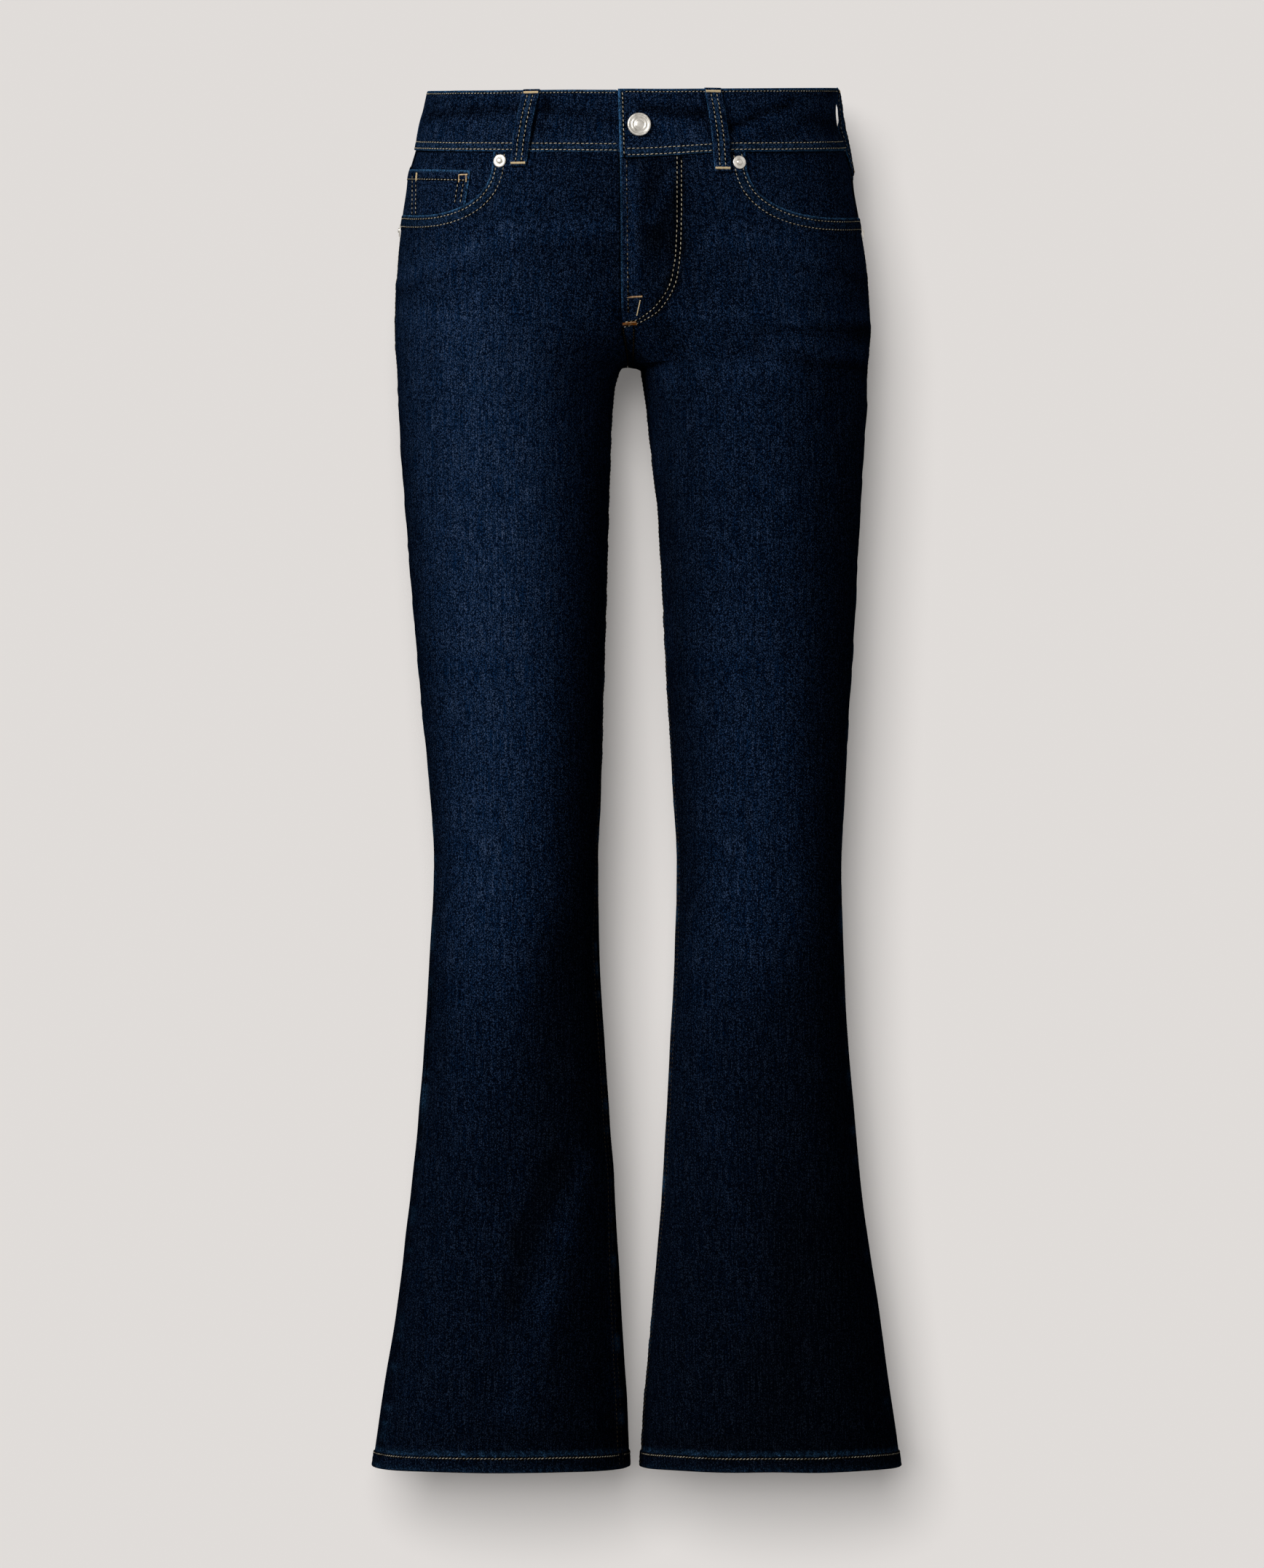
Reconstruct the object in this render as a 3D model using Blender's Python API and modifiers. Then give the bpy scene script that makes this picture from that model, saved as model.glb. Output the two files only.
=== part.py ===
"""Flared jeans, filled out as when worn: hollow, open at the waist and at both hems.

Every piece that is cut and sewn, or riveted on, is its own closed solid. The garment stands
upright, +Z up, and its front faces -Y. "Right" and "left" are the wearer's: the right leg is
at -X. The origin lies at the middle of the waistband's height, in the middle of the waist.
Lengths in the tables and constants below are in millimetres and are turned to metres when a
point is placed.
"""
import functools
import math

import bmesh
import bpy
from mathutils import Vector

MM = 0.001

# ---------------------------------------------------------------- driving dimensions
CLOTH = 1.2                # thickness of one ply of denim
BAND_CLOTH = 2.2           # the waistband is folded double
SEAM_GAP = 0.3             # clearance between two pieces that are sewn together
LAY_GAP = 0.3              # clearance between a piece and the cloth it lies on

CROTCH_HEIGHT = -179.2     # level at which the legs part
CROTCH_DEPTH = 12.0        # y of the point where the four inseam and rise seams meet
CROTCH_X = -3.2            # the hips are turned a little, so the seams are off the middle
FRONT_RISE_CURVE = (60.0, 2.2)    # height over which the front rise curves under, and roundness
BACK_RISE_CURVE = (96.0, 2.5)     # the same for the seat seam
ARCH_HEIGHT = 60.0         # above the crotch, the legs' round inner sides fade over this height
NOTCH = {"right": (16.0, 0.28), "left": (2.8, 0.4)}    # how soon and how sharply a leg parts
CENTRE_BACK_X = 9.0        # x of the seat seam at the waist
HIP_TURN_HEIGHT = 150.0    # height over which the seat seam comes round to there
EXTENSION_TOP = -200.0     # above this, a panel's extra width lies in its crotch extension
EXTENSION_FADE = 120.0     # and over this height below it the width evens out
HEM_BOTTOM = -985.6
HEM_HEIGHT = 11.5
HEM_RAISE = 0.7            # the turned hem stands this far out of the leg, inside and outside

BAND_TOP = 22.6            # the waistband's top edge at the sides
BAND_BOTTOM = -21.6        # and its lower edge
BAND_TOP_TILT = 0.062      # rise of that edge for each mm towards the back
BAND_BOTTOM_TILT = 0.075
BAND_BACK_TILT = 0.062
BAND_ROLL = 0.0087         # rise for each mm towards the left side
BAND_LAP = 1.4             # how far the two lapped ends part from the middle line
BAND_LAP_LENGTH = 40.0
BAND_UNDERLAP = 30.0       # length of the hidden end under the button
BAND_END_DROOP = 4.0       # the buttoned end hangs this much lower

POCKET_REACH = {"right": 67.4, "left": 84.3}   # mouth, from the side seam to its top corner
POCKET_DROP = {"right": 47.5, "left": 49.5}    # mouth, from the waistband to its lowest point
POCKET_ROUNDNESS = 2.5
POCKET_ROLL = 0.7          # the mouth's rolled edge stands out this far
FACING_WIDER = 24.0        # the facing's curve under the front is this much wider
FACING_DEEPER = 12.0       # and this much deeper than the mouth

FLY_LENGTH_END = -148.0    # the fly's overlap ends at this height
FLY_LIP = 0.7              # the overlapping edge stands out this far

YOKE_SIDE = -42.0          # yoke seam at the side seam
YOKE_CENTRE = -87.0        # and at the centre back
POCKET_GAP = 0.55          # clearance under a back pocket

LOOP_WIDTH = 12.5
LOOP_CLOTH = 1.6
LOOP_ON_BAND = BAND_CLOTH / 2 + LAY_GAP     # a loop's tacked top stands this far out
LOOP_ON_PANEL = LAY_GAP + 0.1               # and its tacked lower end this far
# Down a loop's length: share of the way from the top, and how far its inner face stands out.
LOOP_PROFILE = ((0.0, LOOP_ON_BAND), (0.08, LOOP_ON_BAND), (0.17, 2.6), (0.30, 4.0),
                (0.45, 4.5), (0.60, 4.2), (0.72, 3.0), (0.84, 1.2), (0.91, LOOP_ON_PANEL),
                (1.0, LOOP_ON_PANEL))

BUTTON_RADIUS = 8.6
RIVET_RADIUS = 4.9

# ---------------------------------------------------------------- the figure
# One row for each level. "right" and "left" are x at the two side seams, "middle" is the
# centre front line and lower down the middle between the legs, "gap" is half the space
# between the legs, "front" and "back" are y at the fullest points, "side" and "inseam" are y
# at those seams, "crest" is where between middle and side the fullest point lies, and
# "round" is the roundness of the corners (2 is an ellipse).
FIGURE_COLUMNS = ("height", "right", "left", "middle", "gap", "front", "back", "side",
                  "inseam", "crest", "round")
FIGURE = (
    (36, -145.6, 148.0, -10.8, 0.0, -93, 98, 2, 12, 0.00, 2.3),
    (22, -148.6, 149.2, -10.4, 0.0, -95, 101, 2, 12, 0.00, 2.3),
    (8, -151.7, 148.0, -10.0, 0.0, -98, 105, 2, 12, 0.00, 2.3),
    (-6, -154.7, 149.6, -9.6, 0.0, -101, 109, 2, 12, 0.00, 2.3),
    (-21, -158.2, 155.6, -9.2, 0.0, -103, 113, 2, 12, 0.00, 2.3),
    (-30, -160.8, 159.0, -9.0, 0.0, -104, 116, 2, 12, 0.01, 2.3),
    (-40, -163.8, 161.4, -8.9, 0.0, -105, 118, 2, 12, 0.02, 2.3),
    (-52, -165.2, 162.8, -8.8, 0.0, -106, 121, 3, 12, 0.04, 2.3),
    (-71, -168.0, 166.3, -8.6, 0.0, -108, 126, 4, 12, 0.08, 2.3),
    (-125, -173.2, 173.2, -8.1, 0.0, -107, 133, 6, 12, 0.34, 2.2),
    (-154, -174.3, 174.3, -7.4, 0.0, -103, 131, 6, 12, 0.44, 2.15),
    (-179, -172.6, 172.3, -3.2, 9.0, -98, 123, 5, 12, 0.49, 2.1),
    (-199, -171.9, 172.0, -2.1, 11.7, -96, 111, 3, 11, 0.50, 2.1),
    (-231, -170.0, 170.6, -1.3, 14.7, -94, 97, 1, 8, 0.50, 2.1),
    (-295, -165.2, 166.8, 1.1, 18.7, -90, 83, -2, 3, 0.50, 2.1),
    (-391, -157.2, 161.5, 2.1, 22.4, -82, 67, -5, 0, 0.50, 2.1),
    (-487, -148.7, 155.6, 3.7, 26.0, -74, 55, -8, -4, 0.50, 2.1),
    (-543, -145.0, 153.3, 4.0, 28.5, -69, 53, -8, -5, 0.50, 2.1),
    (-599, -147.4, 154.6, 3.6, 27.6, -65, 57, -5, -3, 0.50, 2.1),
    (-679, -152.4, 158.3, 4.0, 23.7, -61, 65, 1, 1, 0.50, 2.1),
    (-775, -161.0, 166.8, 4.5, 17.9, -60, 72, 5, 5, 0.50, 2.1),
    (-871, -172.7, 180.7, 3.5, 10.9, -62, 77, 8, 8, 0.50, 2.1),
    (-951, -185.0, 192.6, 2.4, 5.6, -65, 81, 8, 8, 0.50, 2.1),
    (-987, -190.3, 197.2, 2.1, 3.2, -67, 82, 8, 8, 0.50, 2.1),
)

# The long seams hang forward of each leg's widest places, because a front panel is cut
# narrower than its back panel: by how much, measured round the leg, at a few levels.
SEAM_COLUMNS = ("height", "right inseam", "left inseam", "right side", "left side")
SEAMS = (
    (-170, 0, 0, 0, 0),
    (-220, 0, 0, 1, 1),
    (-400, 6, 6, 7, 7),
    (-600, 13, 11, 15, 14),
    (-750, 18, 11, 21, 19),
    (-900, 25, 6, 26, 24),
    (-987, 26, 4, 27, 25),
)

# Soft folds in the cloth: each is a line from one point to another (x and height), with the
# depth of the trough (a ridge is negative) and its half width.
FOLD_COLUMNS = ("leg", "panel", "x1", "h1", "x2", "h2", "depth", "width")
FOLDS = (
    ("left", "front", 107, -153, 176, -143, 2.4, 8),
    ("right", "front", -176, -147, -128, -138, 1.6, 9),
    ("right", "front", -44, -606, -89, -790, 3.2, 16),
    ("right", "front", -89, -790, -104, -930, 3.4, 16),
    ("right", "front", -34, -770, -72, -900, -2.4, 13),
    ("left", "front", 107, -660, 74, -900, 2.6, 16),
    ("left", "front", 140, -700, 152, -940, -1.8, 14),
    ("right", "back", -30, -224, -150, -206, 2.6, 12),
    ("left", "back", 28, -222, 150, -208, 2.8, 12),
    ("right", "back", -32, -528, -138, -546, 2.4, 10),
    ("right", "back", -40, -566, -120, -556, 1.8, 9),
    ("left", "back", 38, -536, 146, -524, 2.2, 10),
    ("left", "back", 46, -562, 132, -572, 2.0, 9),
    ("right", "back", -70, -690, -96, -940, 3.0, 16),
    ("left", "back", 84, -700, 112, -930, 2.8, 16),
)

# Heights of the crosswise lines of the body panels' grids, below the pockets and the yoke.
BODY_LINES = (-100, -113, -126, -139, -151, -161, -168.5, -174, -177.4, -178.8)
LEG_LINES = (-180.4, -182.6, -187, -196, -212, -236, -268, -308, -352, -398, -444, -486,
             -518, -543, -568, -602, -648, -700, -752, -804, -852, -896, -936, -972.9)
TOP_LINES = 5              # lines between a panel's top edge and the first of those
PLAIN_COLUMNS = 7          # strips of the front panel's grid between its seam and the pocket
MOUTH_ANGLES = (0, 15, 28, 41, 54)    # lines down the steep part of the pocket's mouth
SIDE_COLUMNS = 6           # and strips from there to the side seam
BACK_COLUMNS = 14          # strips of the back panel's grid
SAMPLES = 40               # points along each half of an outline when it is measured

SIGN = {"right": -1, "left": 1}
FACES = {"front": -1, "back": 1}


# ---------------------------------------------------------------- curves and outlines
def smooth_curve(places, values):
    """A curve through a table's points, smooth and never overshooting between two rows."""
    steps = [after - before for before, after in zip(places, places[1:])]
    slopes = [(after - before) / step
              for before, after, step in zip(values, values[1:], steps)]
    leans = [slopes[0]]
    for before, after in zip(slopes, slopes[1:]):
        turns = before * after <= 0
        leans.append(0.0 if turns else 2 * before * after / (before + after))
    leans.append(slopes[-1])

    def value(place):
        place = min(max(place, places[0]), places[-1])
        index = 0
        while index < len(steps) - 1 and place > places[index + 1]:
            index += 1
        step = steps[index]
        t = (place - places[index]) / step
        return ((1 + 2 * t) * (1 - t) ** 2 * values[index]
                + t * (1 - t) ** 2 * step * leans[index]
                + t * t * (3 - 2 * t) * values[index + 1]
                + t * t * (t - 1) * step * leans[index + 1])

    return value


def table_curves(columns, rows):
    """A smooth curve over height for each named column of a table, whose first is the height."""
    upwards = sorted(rows)
    heights = [row[0] for row in upwards]
    return {column: smooth_curve(heights, [row[index] for row in upwards])
            for index, column in enumerate(columns)}


FIGURE_CURVES = table_curves(FIGURE_COLUMNS, FIGURE)
SEAM_CURVES = table_curves(SEAM_COLUMNS, SEAMS)


def figure(column, height):
    return FIGURE_CURVES[column](height)


def ease(value):
    """0 to 1 with soft ends."""
    value = min(max(value, 0.0), 1.0)
    return value * value * (3 - 2 * value)


def superellipse(angle, roundness):
    """Cosine and sine of a quarter turn, with fuller corners as roundness grows."""
    return (max(math.cos(angle), 0.0) ** (2 / roundness),
            max(math.sin(angle), 0.0) ** (2 / roundness))


def rise_reach(panel, height):
    """How far out the centre seam lies at a height: 0 under the crotch, 1 at its fullest."""
    span, roundness = FRONT_RISE_CURVE if panel == "front" else BACK_RISE_CURVE
    share = min(max((height - CROTCH_HEIGHT) / span, 0.0), 1.0)
    return (1 - (1 - share) ** roundness) ** (1 / roundness)


def centre_x(panel, height):
    """x of the middle seam: front and back differ above the crotch, because the hips turn."""
    if panel == "front" or height < CROTCH_HEIGHT:
        return figure("middle", height)
    lift = ease((height - CROTCH_HEIGHT) / HIP_TURN_HEIGHT)
    return CROTCH_X + (CENTRE_BACK_X - CROTCH_X) * lift


def fold_depth(leg, panel, x, height):
    """How far the folds draw the cloth in at a place."""
    total = 0.0
    for fold in FOLDS:
        row = dict(zip(FOLD_COLUMNS, fold))
        if (row["leg"], row["panel"]) != (leg, panel):
            continue
        dx, dh = row["x2"] - row["x1"], row["h2"] - row["h1"]
        share = ((x - row["x1"]) * dx + (height - row["h1"]) * dh) / (dx * dx + dh * dh)
        share = min(max(share, 0.0), 1.0)
        off = math.hypot(x - row["x1"] - share * dx, height - row["h1"] - share * dh)
        if off < 3 * row["width"]:
            total += row["depth"] * math.exp(-0.5 * (off / row["width"]) ** 2)
    return total


@functools.lru_cache(maxsize=None)
def half_section(leg, panel, height):
    """The front or back half of a level section, between its two widest places.

    Returns the points (x, y) from the centre seam or the leg's inner side round to its outer
    side, x of the first of them, and x of the pressed crease down the middle of the leg.
    """
    sign = SIGN[leg]
    parted = height < CROTCH_HEIGHT
    if parted:
        notch_height, sharpness = NOTCH[leg]
        spread = min((CROTCH_HEIGHT - height) / notch_height, 1.0) ** sharpness
        inner_x = centre_x(panel, height) + sign * figure("gap", height) * spread
        inner_y = figure("inseam", height)
        reach = 0.0
        arch = 1.0
    else:
        inner_x = centre_x(panel, height) + sign * SEAM_GAP / 2
        reach = min(rise_reach(panel, height), 0.995)
        inner_y = CROTCH_DEPTH + (figure(panel, height) - CROTCH_DEPTH) * reach
        arch = 1 - ease((height - CROTCH_HEIGHT) / ARCH_HEIGHT)
    outer_x = figure(leg, height)
    fullest = figure(panel, height)
    side_y = figure("side", height)
    roundness = figure("round", height)
    thigh_x = centre_x(panel, height) + sign * figure("gap", height)
    crest_x = thigh_x + figure("crest", height) * (outer_x - thigh_x)

    points = []
    if abs(crest_x - inner_x) > 0.5:
        # The leg's round inner side runs on behind the centre seam, which cuts it off.
        cut = math.acos(min(reach ** (roundness / 2), 1.0))
        leg_y = figure("inseam", height) if parted else CROTCH_DEPTH
        edge = (1 - reach ** roundness) ** (1 / roundness)
        for step in range(SAMPLES):
            t = step / SAMPLES
            cosine, sine = superellipse(cut + (0 - cut) * t, roundness)
            round_x = crest_x + (inner_x - crest_x) * sine / edge
            round_y = leg_y + (fullest - leg_y) * cosine
            along = (round_x - inner_x) / (crest_x - inner_x)
            wave_y = inner_y + (fullest - inner_y) * (1 - math.cos(math.pi * along)) / 2
            points.append((round_x, wave_y + (round_y - wave_y) * arch))
    for step in range(SAMPLES + 1):
        cosine, sine = superellipse(math.pi / 2 * (1 - step / SAMPLES), roundness)
        points.append((crest_x + (outer_x - crest_x) * cosine,
                       side_y + (fullest - side_y) * sine))

    folded = []
    hub_x, hub_y = crest_x, side_y
    for x, y in points:
        away = math.hypot(x - hub_x, y - hub_y)
        share = 1 - fold_depth(leg, panel, x, height) / max(away, 30.0)
        folded.append((hub_x + (x - hub_x) * share, hub_y + (y - hub_y) * share))
    folded[0] = points[0]
    folded[-1] = points[-1]
    return folded, inner_x, (thigh_x + outer_x) / 2


def running_lengths(points):
    lengths = [0.0]
    for before, after in zip(points, points[1:]):
        lengths.append(lengths[-1] + math.dist(before, after))
    return lengths


def stretch_of(points, start, end):
    """The part of a line of points between two distances along it."""
    lengths = running_lengths(points)

    def point_at(distance):
        index = 0
        while index < len(lengths) - 2 and lengths[index + 1] < distance:
            index += 1
        share = (distance - lengths[index]) / (lengths[index + 1] - lengths[index])
        return tuple(a + (b - a) * share for a, b in zip(points[index], points[index + 1]))

    kept = [point for point, length in zip(points, lengths)
            if start + 0.01 < length < end - 0.01]
    return [point_at(start)] + kept + [point_at(end)]


@functools.lru_cache(maxsize=None)
def outline(leg, panel, height):
    """A panel's level section: points from the centre seam or inseam round to the side seam.

    Returns the points (x, y), the distance to each along the outline, the distance to the
    pressed crease, and the straight part of that: what the panel would have there without the
    extension that reaches under the crotch.
    """
    points, inner_x, middle_x = half_section(leg, panel, height)
    inseam = SEAM_CURVES[leg + " inseam"](height)
    side = SEAM_CURVES[leg + " side"](height)
    front, _, _ = half_section(leg, "front", height)
    whole = running_lengths(front)[-1]
    if panel == "front":
        if inseam > 0 or side > 0:
            points = stretch_of(front, inseam, whole - side)
    else:
        if inseam > 0:
            points = stretch_of(front, 0.0, inseam)[::-1] + points[1:]
        if side > 0:
            points = points[:-1] + stretch_of(front, whole - side, whole)[::-1]

    lengths = running_lengths(points)
    crease = 0
    while (points[crease + 1][0] - middle_x) * SIGN[leg] < 0:
        crease += 1
    before, after = points[crease], points[crease + 1]
    share = (middle_x - before[0]) / (after[0] - before[0])
    to_crease = lengths[crease] + share * (lengths[crease + 1] - lengths[crease])
    return points, lengths, to_crease, abs(middle_x - inner_x)


def crease_reach(leg, panel, height, share):
    """Distance from the crease towards the inner seam, for a share from 0 to 1 of the way.

    Near the crotch the extension takes up most of the extra width, as in a cut panel.
    """
    _, _, to_crease, straight = outline(leg, panel, round(height, 4))
    extended = straight * share + (to_crease - straight) * share ** 3
    keep = 1 - ease((EXTENSION_TOP - height) / EXTENSION_FADE)
    return to_crease * share + (extended - to_crease * share) * keep


def distance_at(leg, panel, height, across):
    """Distance round the section from the inner seam (across 0) by the crease (0.5) to 1."""
    _, lengths, to_crease, _ = outline(leg, panel, round(height, 4))
    if across < 0.5:
        return to_crease - crease_reach(leg, panel, height, 1 - across / 0.5)
    return to_crease + (lengths[-1] - to_crease) * (across - 0.5) / 0.5


def across_at(leg, panel, height, distance):
    """The share across a panel at this distance round its section from the inner seam."""
    _, lengths, to_crease, _ = outline(leg, panel, round(height, 4))
    if distance >= to_crease:
        return 0.5 + 0.5 * (distance - to_crease) / (lengths[-1] - to_crease)
    low, high = 0.0, 0.5
    for _ in range(30):
        middle = (low + high) / 2
        if distance_at(leg, panel, height, middle) < distance:
            low = middle
        else:
            high = middle
    return (low + high) / 2


def girth(leg, panel, height):
    """Length of a panel's level section, from its inner seam to the side seam."""
    return outline(leg, panel, round(height, 4))[1][-1]


def surface(leg, panel, height, across):
    """A point of the garment's outer face, "across" from 0 at the inner seam to 1 at the side."""
    points, lengths, _, _ = outline(leg, panel, round(height, 4))
    target = distance_at(leg, panel, height, min(max(across, 0.0), 1.0))
    low, high = 0, len(lengths) - 1
    while high - low > 1:
        middle = (low + high) // 2
        if lengths[middle] <= target:
            low = middle
        else:
            high = middle
    share = (target - lengths[low]) / max(lengths[high] - lengths[low], 1e-9)
    x = points[low][0] + share * (points[high][0] - points[low][0])
    y = points[low][1] + share * (points[high][1] - points[low][1])
    return Vector((x, y, height))


def beyond(leg, panel, height, distance):
    """A point round the section, which may lie past either seam on the next panel."""
    whole = girth(leg, panel, height)
    other_panel = "back" if panel == "front" else "front"
    other_leg = "left" if leg == "right" else "right"
    if distance > whole:
        panel, distance = other_panel, girth(leg, other_panel, height) + whole - distance
    elif distance < 0:
        distance = -distance
        if height < CROTCH_HEIGHT:
            panel = other_panel
        else:
            leg = other_leg
    return surface(leg, panel, height, across_at(leg, panel, height, distance))


def outward(leg, panel, height, across):
    """The direction straight out of the cloth at a place."""
    beside = 3.0
    distance = distance_at(leg, panel, height, across)
    around = (beyond(leg, panel, height, distance + beside)
              - beyond(leg, panel, height, distance - beside))
    reach = 0.4 if abs(height - CROTCH_HEIGHT) < 12 else 3.0
    upward = (surface(leg, panel, height + reach, across)
              - surface(leg, panel, height - reach, across))
    normal = around.cross(upward) * (-SIGN[leg] * FACES[panel])
    return normal.normalized()


def place(leg, panel, height, across, raised=0.0):
    """A point that lies "raised" mm out of the garment's outer face."""
    point = surface(leg, panel, height, across)
    if raised:
        point = point + outward(leg, panel, height, across) * raised
    return point


def across_at_x(leg, panel, height, x):
    """The share across a panel at which its outer face has this x."""
    low, high = 0.0, 1.0
    for _ in range(30):
        middle = (low + high) / 2
        if (surface(leg, panel, height, middle).x - x) * SIGN[leg] < 0:
            low = middle
        else:
            high = middle
    return (low + high) / 2


# ---------------------------------------------------------------- the waistband's edges
def band_top(leg, panel, across):
    point = surface(leg, panel, BAND_TOP, across)
    return BAND_TOP + BAND_ROLL * point.x + BAND_TOP_TILT * point.y


def band_bottom(leg, panel, across):
    point = surface(leg, panel, BAND_BOTTOM, across)
    tilt = BAND_BACK_TILT if point.y > 0 else BAND_BOTTOM_TILT
    height = BAND_BOTTOM + tilt * point.y
    if (leg, panel) == ("left", "front"):
        reach = distance_at(leg, panel, BAND_BOTTOM, across)
        height -= BAND_END_DROOP * (1 - ease(reach / 90.0))
    return height


# ---------------------------------------------------------------- making solids
def new_object(name, mesh, finish):
    thing = bpy.data.objects.new(name, mesh)
    PARTS.objects.link(thing)
    mesh.materials.append(MATERIALS[finish])
    return thing


def cloth(name, lines, finish):
    """A closed wall of cloth from a grid of (outer, inner) pairs of points.

    A flat grid gets a second layer, and then each corner is put where the pattern has it.
    """
    rows = len(lines) - 1
    columns = len(lines[0]) - 1
    sheet = bmesh.new()
    bmesh.ops.create_grid(sheet, x_segments=columns, y_segments=rows, size=1.0)
    second = bmesh.ops.extrude_face_region(sheet, geom=sheet.faces[:], use_keep_orig=True)
    for item in second["geom"]:
        if isinstance(item, bmesh.types.BMVert):
            item.co.z = -1.0
    for corner in sheet.verts:
        column = round((corner.co.x + 1) / 2 * columns)
        row = round((1 - corner.co.y) / 2 * rows)
        layer = 1 if corner.co.z < -0.5 else 0
        corner.co = Vector(lines[row][column][layer]) * MM
    bmesh.ops.recalc_face_normals(sheet, faces=sheet.faces)
    if sheet.calc_volume(signed=True) < 0:
        bmesh.ops.reverse_faces(sheet, faces=sheet.faces)
    mesh = bpy.data.meshes.new(name)
    sheet.to_mesh(mesh)
    sheet.free()
    mesh.shade_smooth()
    mesh.set_sharp_from_angle(angle=math.radians(40))
    return new_object(name, mesh, finish)


def layer_pair(leg, panel, height, across, raised, thickness):
    return (place(leg, panel, height, across, raised),
            place(leg, panel, height, across, raised - thickness))


def turned(name, profile, segments, centre, axis, finish):
    """A turned metal piece: a profile of (radius, height) spun round its axis and set in place."""
    mesh = bpy.data.meshes.new(name)
    mesh.from_pydata([(radius * MM, 0, height * MM) for radius, height in profile],
                     [(i, i + 1) for i in range(len(profile) - 1)], [])
    thing = new_object(name, mesh, finish)
    screw = thing.modifiers.new("Turned", "SCREW")
    screw.axis = "Z"
    screw.steps = segments
    screw.render_steps = segments
    screw.use_merge_vertices = True
    screw.merge_threshold = 0.00001
    thing.location = centre * MM
    thing.rotation_euler = axis.to_track_quat("Z", "Y").to_euler()
    return thing


def inside_seams(leg, panel, height, across):
    """The same share across, moved half a seam gap in from the panel's two long edges."""
    first = across_at(leg, panel, height, SEAM_GAP / 2)
    last = across_at(leg, panel, height, girth(leg, panel, height) - SEAM_GAP / 2)
    return first + across * (last - first)


# ---------------------------------------------------------------- cloth pieces
def hem_raise(height):
    return HEM_RAISE if height < HEM_BOTTOM + HEM_HEIGHT else 0.0


def panel_line(leg, panel, heights, columns, raises):
    """One crosswise line of a body panel: a pair of points for each column."""
    line = []
    for height, across, raised in zip(heights, columns, raises):
        across = inside_seams(leg, panel, height, across)
        swell = hem_raise(height)
        line.append(layer_pair(leg, panel, height, across, raised + swell, CLOTH + 2 * swell))
    return line


def panel_heights(tops):
    """Heights of a body panel's grid, a row for each line, below the heights of its top edge."""
    rows = []
    for line in range(TOP_LINES):
        rows.append([top + (BODY_LINES[0] - top) * line / TOP_LINES for top in tops])
    for height in BODY_LINES + LEG_LINES + (HEM_BOTTOM + HEM_HEIGHT - 0.4, HEM_BOTTOM):
        rows.append([height] * len(tops))
    return rows


def mouth_x(leg, angle):
    """x of a point of the pocket mouth's curve; the angle is 0 at the waistband."""
    side_x = figure(leg, BAND_BOTTOM - POCKET_DROP[leg])
    return side_x - SIGN[leg] * POCKET_REACH[leg] * superellipse(angle, POCKET_ROUNDNESS)[0]


def mouth_height(leg, across, wider=0.0, deeper=0.0):
    """Height of the mouth's curve at a share across the front; it can be drawn larger."""
    top = band_bottom(leg, "front", across) - SEAM_GAP
    side_x = figure(leg, BAND_BOTTOM - POCKET_DROP[leg])
    height = top
    for _ in range(4):
        x = surface(leg, "front", height, across).x
        share = (side_x - x) * SIGN[leg] / (POCKET_REACH[leg] + wider)
        share = min(max(share, 0.0), 1.0)
        sine = (1 - share ** POCKET_ROUNDNESS) ** (1 / POCKET_ROUNDNESS)
        height = top - (POCKET_DROP[leg] + deeper) * sine
    return height


def front_columns(leg):
    """Shares across the front panel: even ones, then close together down the pocket's mouth."""
    steep = [math.radians(angle) for angle in MOUTH_ANGLES]
    mouth = []
    for angle in steep:
        drop = POCKET_DROP[leg] * superellipse(angle, POCKET_ROUNDNESS)[1]
        mouth.append(across_at_x(leg, "front", BAND_BOTTOM - 6 - drop, mouth_x(leg, angle)))
    plain = [mouth[0] * step / PLAIN_COLUMNS for step in range(PLAIN_COLUMNS)]
    last = mouth[-1]
    side = [last + (1 - last) * step / SIDE_COLUMNS for step in range(1, SIDE_COLUMNS + 1)]
    return plain + mouth + side


def front_panel(leg):
    columns = front_columns(leg)
    tops = [band_bottom(leg, "front", across) - SEAM_GAP for across in columns[:PLAIN_COLUMNS]]
    tops += [mouth_height(leg, across) for across in columns[PLAIN_COLUMNS:]]
    lines = []
    for number, heights in enumerate(panel_heights(tops)):
        roll = POCKET_ROLL * max(1 - 2 * number / TOP_LINES, 0.0)
        raises = [roll if column > PLAIN_COLUMNS else 0.0 for column in range(len(columns))]
        if leg == "left" and heights[0] > FLY_LENGTH_END:
            raises[0] = FLY_LIP
        lines.append(panel_line(leg, "front", heights, columns, raises))
    return cloth("front_" + leg, lines, "denim")


def yoke_seam(across):
    return YOKE_CENTRE + (YOKE_SIDE - YOKE_CENTRE) * across


def back_columns():
    return [step / BACK_COLUMNS for step in range(BACK_COLUMNS + 1)]


def back_heights():
    return panel_heights([yoke_seam(across) - SEAM_GAP / 2 for across in back_columns()])


def back_panel(leg):
    flat = [0.0] * (BACK_COLUMNS + 1)
    lines = [panel_line(leg, "back", heights, back_columns(), flat)
             for heights in back_heights()]
    return cloth("back_" + leg, lines, "denim")


def yoke(leg):
    deep = 4
    lines = []
    for line in range(deep + 1):
        share = line / deep
        heights = []
        for across in back_columns():
            top = band_bottom(leg, "back", across) - SEAM_GAP
            low = yoke_seam(across) + SEAM_GAP / 2
            heights.append(top + (low - top) * share)
        flat = [0.0] * len(heights)
        lines.append(panel_line(leg, "back", heights, back_columns(), flat))
    return cloth("yoke_" + leg, lines, "denim")


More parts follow.
